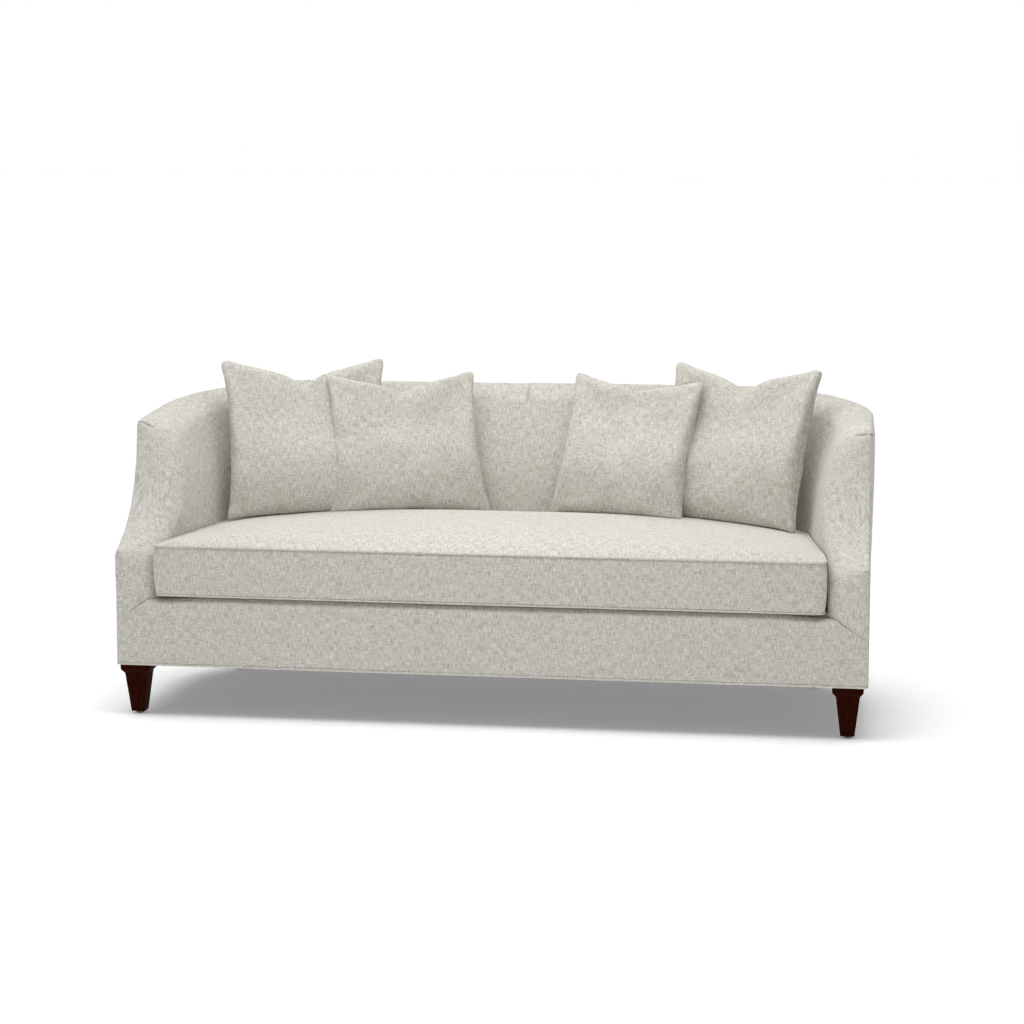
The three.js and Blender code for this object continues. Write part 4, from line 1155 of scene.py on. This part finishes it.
def along_first(sheet, places):
    """Rows of a sheet read at uneven places, by a smooth curve through them."""
    last = len(sheet) - 1
    start = np.clip(np.floor(places).astype(int), 0, last - 1)
    share = (places - start)[:, None, None]
    a, b, c, d = (sheet[np.clip(start + step, 0, last)] for step in (-1, 0, 1, 2))
    bend = 2 * a - 5 * b + 4 * c - d + share * (3 * (b - c) + d - a)
    return b + 0.5 * share * (c - a + share * bend)


def seam_lines(half):
    """Places across a panel, from -1 to 1, that crowd together next to both seams."""
    near = -1 + np.array(RIM_LINES) / half
    return np.concatenate([near, np.linspace(near[-1], -near[-1], 2 * PILLOW_LINES + 1)[1:-1], -near[::-1]])


def pillow_panel(sheet, half_width, half_height, chop, notch, taper, skew, seed, facing):
    """One panel of a pillow: crowded lines, a folded edge, drawn-in sides, ears and a chopped top."""
    u, v = seam_lines(half_width), seam_lines(half_height)
    sheet = along_first(sheet, (v + 1) / 2 * PILLOW_CELLS)
    sheet = along_first(sheet.swapaxes(0, 1), (u + 1) / 2 * PILLOW_CELLS).swapaxes(0, 1).copy()
    u, v = np.meshgrid(u, v)
    from_side, from_end = half_width * (1 - np.abs(u)), half_height * (1 - np.abs(v))
    away = np.minimum(from_side, from_end)
    x, y, z = sheet[..., 0], sheet[..., 1], sheet[..., 2]
    high = ((1 + v) / 2).clip(0, 1)
    y -= 0.9 * (y[0] - y[0].min()) * (1 - high) ** 2
    if facing > 0:
        z *= 1 - SLUMP * np.sin(math.pi * v) * eased(away / SLUMP_REACH)
    dents = [[noise.noise(Vector((a * 2.3, b * 2.3, seed * 7.1 + facing))) for a in u[0]] for b in v[:, 0]]
    z += DENT_DEPTH * np.array(dents) * eased(away / DENT_REACH)

    side = from_side < from_end
    along = np.where(side, v, u)
    widest = np.where(side, SIDE_FOLD, TOP_FOLD)
    fold = lerp(FOLD_RADIUS, widest, (1 - along ** 2).clip(0, 1))
    bent = np.minimum(away, fold * math.pi / 2)
    fade = np.exp(-((away - bent) / FOLD_REACH) ** 2)
    out = (bent - fold * (1 - np.cos(bent / fold))) * fade
    out -= SEAM_SINK * np.maximum(1 - away / SEAM_SINK_REACH, 0) ** 2
    length = np.hypot(x, y).clip(1e-6)
    x += out * np.where(side, np.sign(u), 0.3 * x / length)
    y += out * np.where(side, 0.3 * y / length, np.sign(v))
    z += facing * fold * np.sin(bent / fold) * fade

    ear = EAR_STAND * np.exp(-(np.hypot(from_side, from_end) / EAR_SPAN) ** 2) / math.sqrt(2)
    x += ear * np.sign(u)
    y += ear * np.sign(v)
    x *= 1 - taper * v / half_width
    x -= skew * v
    middle = np.sqrt(u * u + NOTCH_ROUNDING ** 2)
    depth = chop * (1 - middle / 0.9).clip(0, 1) ** 1.2 + notch * np.exp(-(middle / NOTCH_SPAN) ** 1.6)
    y -= depth * high ** 3
    z *= 1 - TOP_THINNING * np.exp(-(u / TOP_THINNING_SPAN) ** 2) * high ** 4
    spread = VALLEY_SPAN + VALLEY_SPREAD * (1 - high)
    z -= facing * VALLEY_DEPTH * np.exp(-(u / spread) ** 2) * high ** 3 * eased(away / VALLEY_REACH)
    return sheet, np.stack([u * half_width, v * half_height], axis=-1)


def throw_pillow(name, seed, size, thickness, place, yaw, lean, roll, chop, notch, taper, skew):
    end, side = name.split("_")
    node = f"{end}_pillow_{side}"
    half_width, half_height = size
    points, faces, sheets, rim = sewn_panels(half_width * PILLOW_CUT, half_height * PILLOW_CUT, seed)
    points = filled_shape(f"{name}_filling", points, faces)
    points = relaxed(points, faces, rim)
    points -= (points.max(axis=0) + points.min(axis=0)) / 2
    points *= np.array([half_width, half_height, thickness]) / np.abs(points).max(axis=0)

    turn = (Matrix.Rotation(math.radians(yaw), 3, "Z") @ Matrix.Rotation(math.radians(90 - lean), 3, "X")
            @ Matrix.Rotation(math.radians(-roll), 3, "Z"))
    patches = []
    for index, facing in zip(sheets, (1, -1)):
        panel, uvs = pillow_panel(points[index], half_width, half_height, chop, notch, taper, skew,
                                  seed, facing)
        panel = panel @ np.array(turn).T + np.array(place)
        sunk = cushion_top(panel[..., 0], panel[..., 1]) + PILLOW_GAP - panel[..., 2]
        soft = (sunk + PRESS_SOFTNESS) ** 2 / (4 * PRESS_SOFTNESS)
        panel[..., 2] += np.where(sunk > PRESS_SOFTNESS, sunk, np.where(sunk > -PRESS_SOFTNESS, soft, 0))
        patches.append(grid(panel, uvs, flip=facing < 0))
    rim = np.concatenate([panel[0, :-1], panel[:-1, -1], panel[-1, :0:-1], panel[:0:-1, 0]])
    cloth_start = (seed * 2.7, seed * 1.9)
    pillow = make_piece(f"throw_pillow_{name}", patches, node, pillow_linen, cloth_start)
    smooth = pillow.modifiers.new("smooth", "SUBSURF")
    smooth.levels = smooth.render_levels = 1
    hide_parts(node)

    floor = cushion_top(rim[:, 0], rim[:, 1])
    rim[:, 2] = np.maximum(rim[:, 2], floor + PILLOW_WELT + PILLOW_WELT_GAP)
    path = rounded(spaced(looped(rim), WELT_STEP), EDGE_ROUNDING)[:-1]
    welt = cord_patch(path, PILLOW_WELT, closed=True)
    make_piece(f"pillow_welt_{name}", welt, node, pillow_linen, cloth_start)


for seed, (name, facts) in enumerate(PILLOWS.items(), 1):
    throw_pillow(name, seed, **facts)

# Legs and glides

LEG_CAP_WIDTH = 0.086
LEG_TOP_WIDTH = 0.066
LEG_FOOT_WIDTH = 0.039
LEG_CAP_HEIGHT = 0.020
LEG_CAP_CHAMFER = 0.006
LEG_BEVEL = 0.0013
GLIDE_RADIUS = 0.0107
GLIDE_HEIGHT = 0.0067
GLIDE_EDGE = 0.0018
LATHE_STEPS = 40


def middle_of(node):
    low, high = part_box(node)
    return (low.x + high.x) / 2, (low.y + high.y) / 2


def tapered_leg(name, node):
    x, y = middle_of(node)
    low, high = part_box(node)
    cap_bottom = high.z - LEG_CAP_HEIGHT
    sections = [(LEG_FOOT_WIDTH, low.z), (LEG_TOP_WIDTH, cap_bottom - LEG_CAP_CHAMFER),
                (LEG_CAP_WIDTH, cap_bottom + LEG_CAP_CHAMFER), (LEG_CAP_WIDTH, high.z)]
    mesh = bpy.data.meshes.new(name)
    form = bmesh.new()
    rings = []
    for width, height in sections:
        half = width / 2
        corners = [(half, half), (-half, half), (-half, -half), (half, -half)]
        rings.append([form.verts.new((dx, dy, height)) for dx, dy in corners])
    form.faces.new(rings[0][::-1])
    form.faces.new(rings[-1])
    for lower, upper in zip(rings, rings[1:]):
        for i in range(4):
            form.faces.new([lower[i], lower[(i + 1) % 4], upper[(i + 1) % 4], upper[i]])
    form.normal_update()
    form.to_mesh(mesh)
    form.free()
    mesh.materials.append(leg_mahogany)
    leg = shown(name, mesh)
    leg.location = (x, y, 0)
    edges = leg.modifiers.new("eased_edges", "BEVEL")
    edges.width = LEG_BEVEL
    edges.segments = 3
    mesh.shade_smooth()
    leg.modifiers.new("faces", "WEIGHTED_NORMAL")
    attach(leg, "root")
    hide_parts(node)


def nail_glide(name, node):
    x, y = middle_of(node)
    edge = GLIDE_EDGE
    face = GLIDE_RADIUS - edge
    profile = [(0.0, 0.0), (face, 0.0)]
    profile += [(face + edge * math.sin(a), edge * (1 - math.cos(a)))
                for a in np.linspace(0.2, math.pi / 2, 5)]
    profile += [(GLIDE_RADIUS, GLIDE_HEIGHT - edge), (GLIDE_RADIUS - edge * 0.4, GLIDE_HEIGHT - edge * 0.3),
                (face, GLIDE_HEIGHT), (0.0, GLIDE_HEIGHT)]
    angles = np.linspace(0, 2 * math.pi, LATHE_STEPS + 1)
    points = np.array([[(r * math.cos(a), r * math.sin(a), z) for a in angles[:-1]]
                       + [(r, 0.0, z)] for r, z in profile])
    points[..., 0] += x
    points[..., 1] += y
    glide = make_piece(name, [grid(points, points[..., :2])], "root", glide_metal)
    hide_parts(node)


for end in ("front", "rear"):
    for side in ("right", "left"):
        tapered_leg(f"tapered_leg_{end}_{side}", f"{end}_leg_{side}")
        nail_glide(f"nail_glide_{end}_{side}", f"{end}_glide_{side}")

# Plain floor, light and camera

CAMERA_PLACE = (1.2824, -7.8923, 1.7311)
CAMERA_PITCH = 81.602
CAMERA_YAW = 9.157
LENS = 96.87
SENSOR = 36.0
FLOOR_REACH = 60.0
FLOOR_GLOW = 0.245
# Tones of the studio's walls and ceiling, by the sine of the angle above the floor
WALL_TONES = [(0.0, 1.0), (0.045, 1.0), (0.10, 0.15), (0.78, 0.15), (0.95, 0.9)]
OVERHEAD_ENERGY = 1.58
OVERHEAD_SPREAD = 60
OVERHEAD_TILT = 8
SOFT_BOX_PLACE = (0.0, -0.65, 2.00)
SOFT_BOX_TILT = 10
SOFT_BOX_SIZE = (2.2, 0.7)
SOFT_BOX_POWER = 14.0


def studio():
    mesh = bpy.data.meshes.new("floor")
    reach = FLOOR_REACH
    mesh.from_pydata([(-reach, -reach, 0), (reach, -reach, 0), (reach, reach, 0), (-reach, reach, 0)], [],
                     [(0, 1, 2, 3)])
    paint = Shader("floor_paint")
    paint.set(Base_Color=(0.92, 0.92, 0.92, 1), Roughness=0.95, Specular_IOR_Level=0.0)
    paint.set(Emission_Color=(1, 1, 1, 1), Emission_Strength=FLOOR_GLOW)
    mesh.materials.append(paint.material)
    floor = shown("floor", mesh)

    world = bpy.data.worlds.new("studio")
    world.use_nodes = True
    tree = world.node_tree
    direction = tree.nodes.new("ShaderNodeTexCoord")
    parts = tree.nodes.new("ShaderNodeSeparateXYZ")
    walls = tree.nodes.new("ShaderNodeValToRGB")
    tree.links.new(direction.outputs["Generated"], parts.inputs["Vector"])
    tree.links.new(parts.outputs["Z"], walls.inputs["Fac"])
    tree.links.new(walls.outputs["Color"], tree.nodes["Background"].inputs["Color"])
    set_stops(walls.color_ramp.elements, WALL_TONES)
    bpy.context.scene.world = world

    light = bpy.data.lights.new("overhead", "SUN")
    light.energy = OVERHEAD_ENERGY
    light.angle = math.radians(OVERHEAD_SPREAD)
    lamp = shown("overhead", light)
    lamp.rotation_euler = (-math.radians(OVERHEAD_TILT), -math.radians(OVERHEAD_TILT), 0)

    light = bpy.data.lights.new("soft_box", "AREA")
    light.shape = "RECTANGLE"
    light.size, light.size_y = SOFT_BOX_SIZE
    light.energy = SOFT_BOX_POWER
    lamp = shown("soft_box", light)
    lamp.location = SOFT_BOX_PLACE
    lamp.rotation_euler = (math.radians(SOFT_BOX_TILT), 0, 0)
    lamp.visible_camera = False

    lens = bpy.data.cameras.new("camera")
    lens.sensor_width = SENSOR
    lens.lens = LENS
    camera = shown("camera", lens)
    camera.location = CAMERA_PLACE
    camera.rotation_euler = (math.radians(CAMERA_PITCH), 0, math.radians(CAMERA_YAW))
    bpy.context.scene.camera = camera
    bpy.context.scene.view_settings.view_transform = "Standard"


studio()
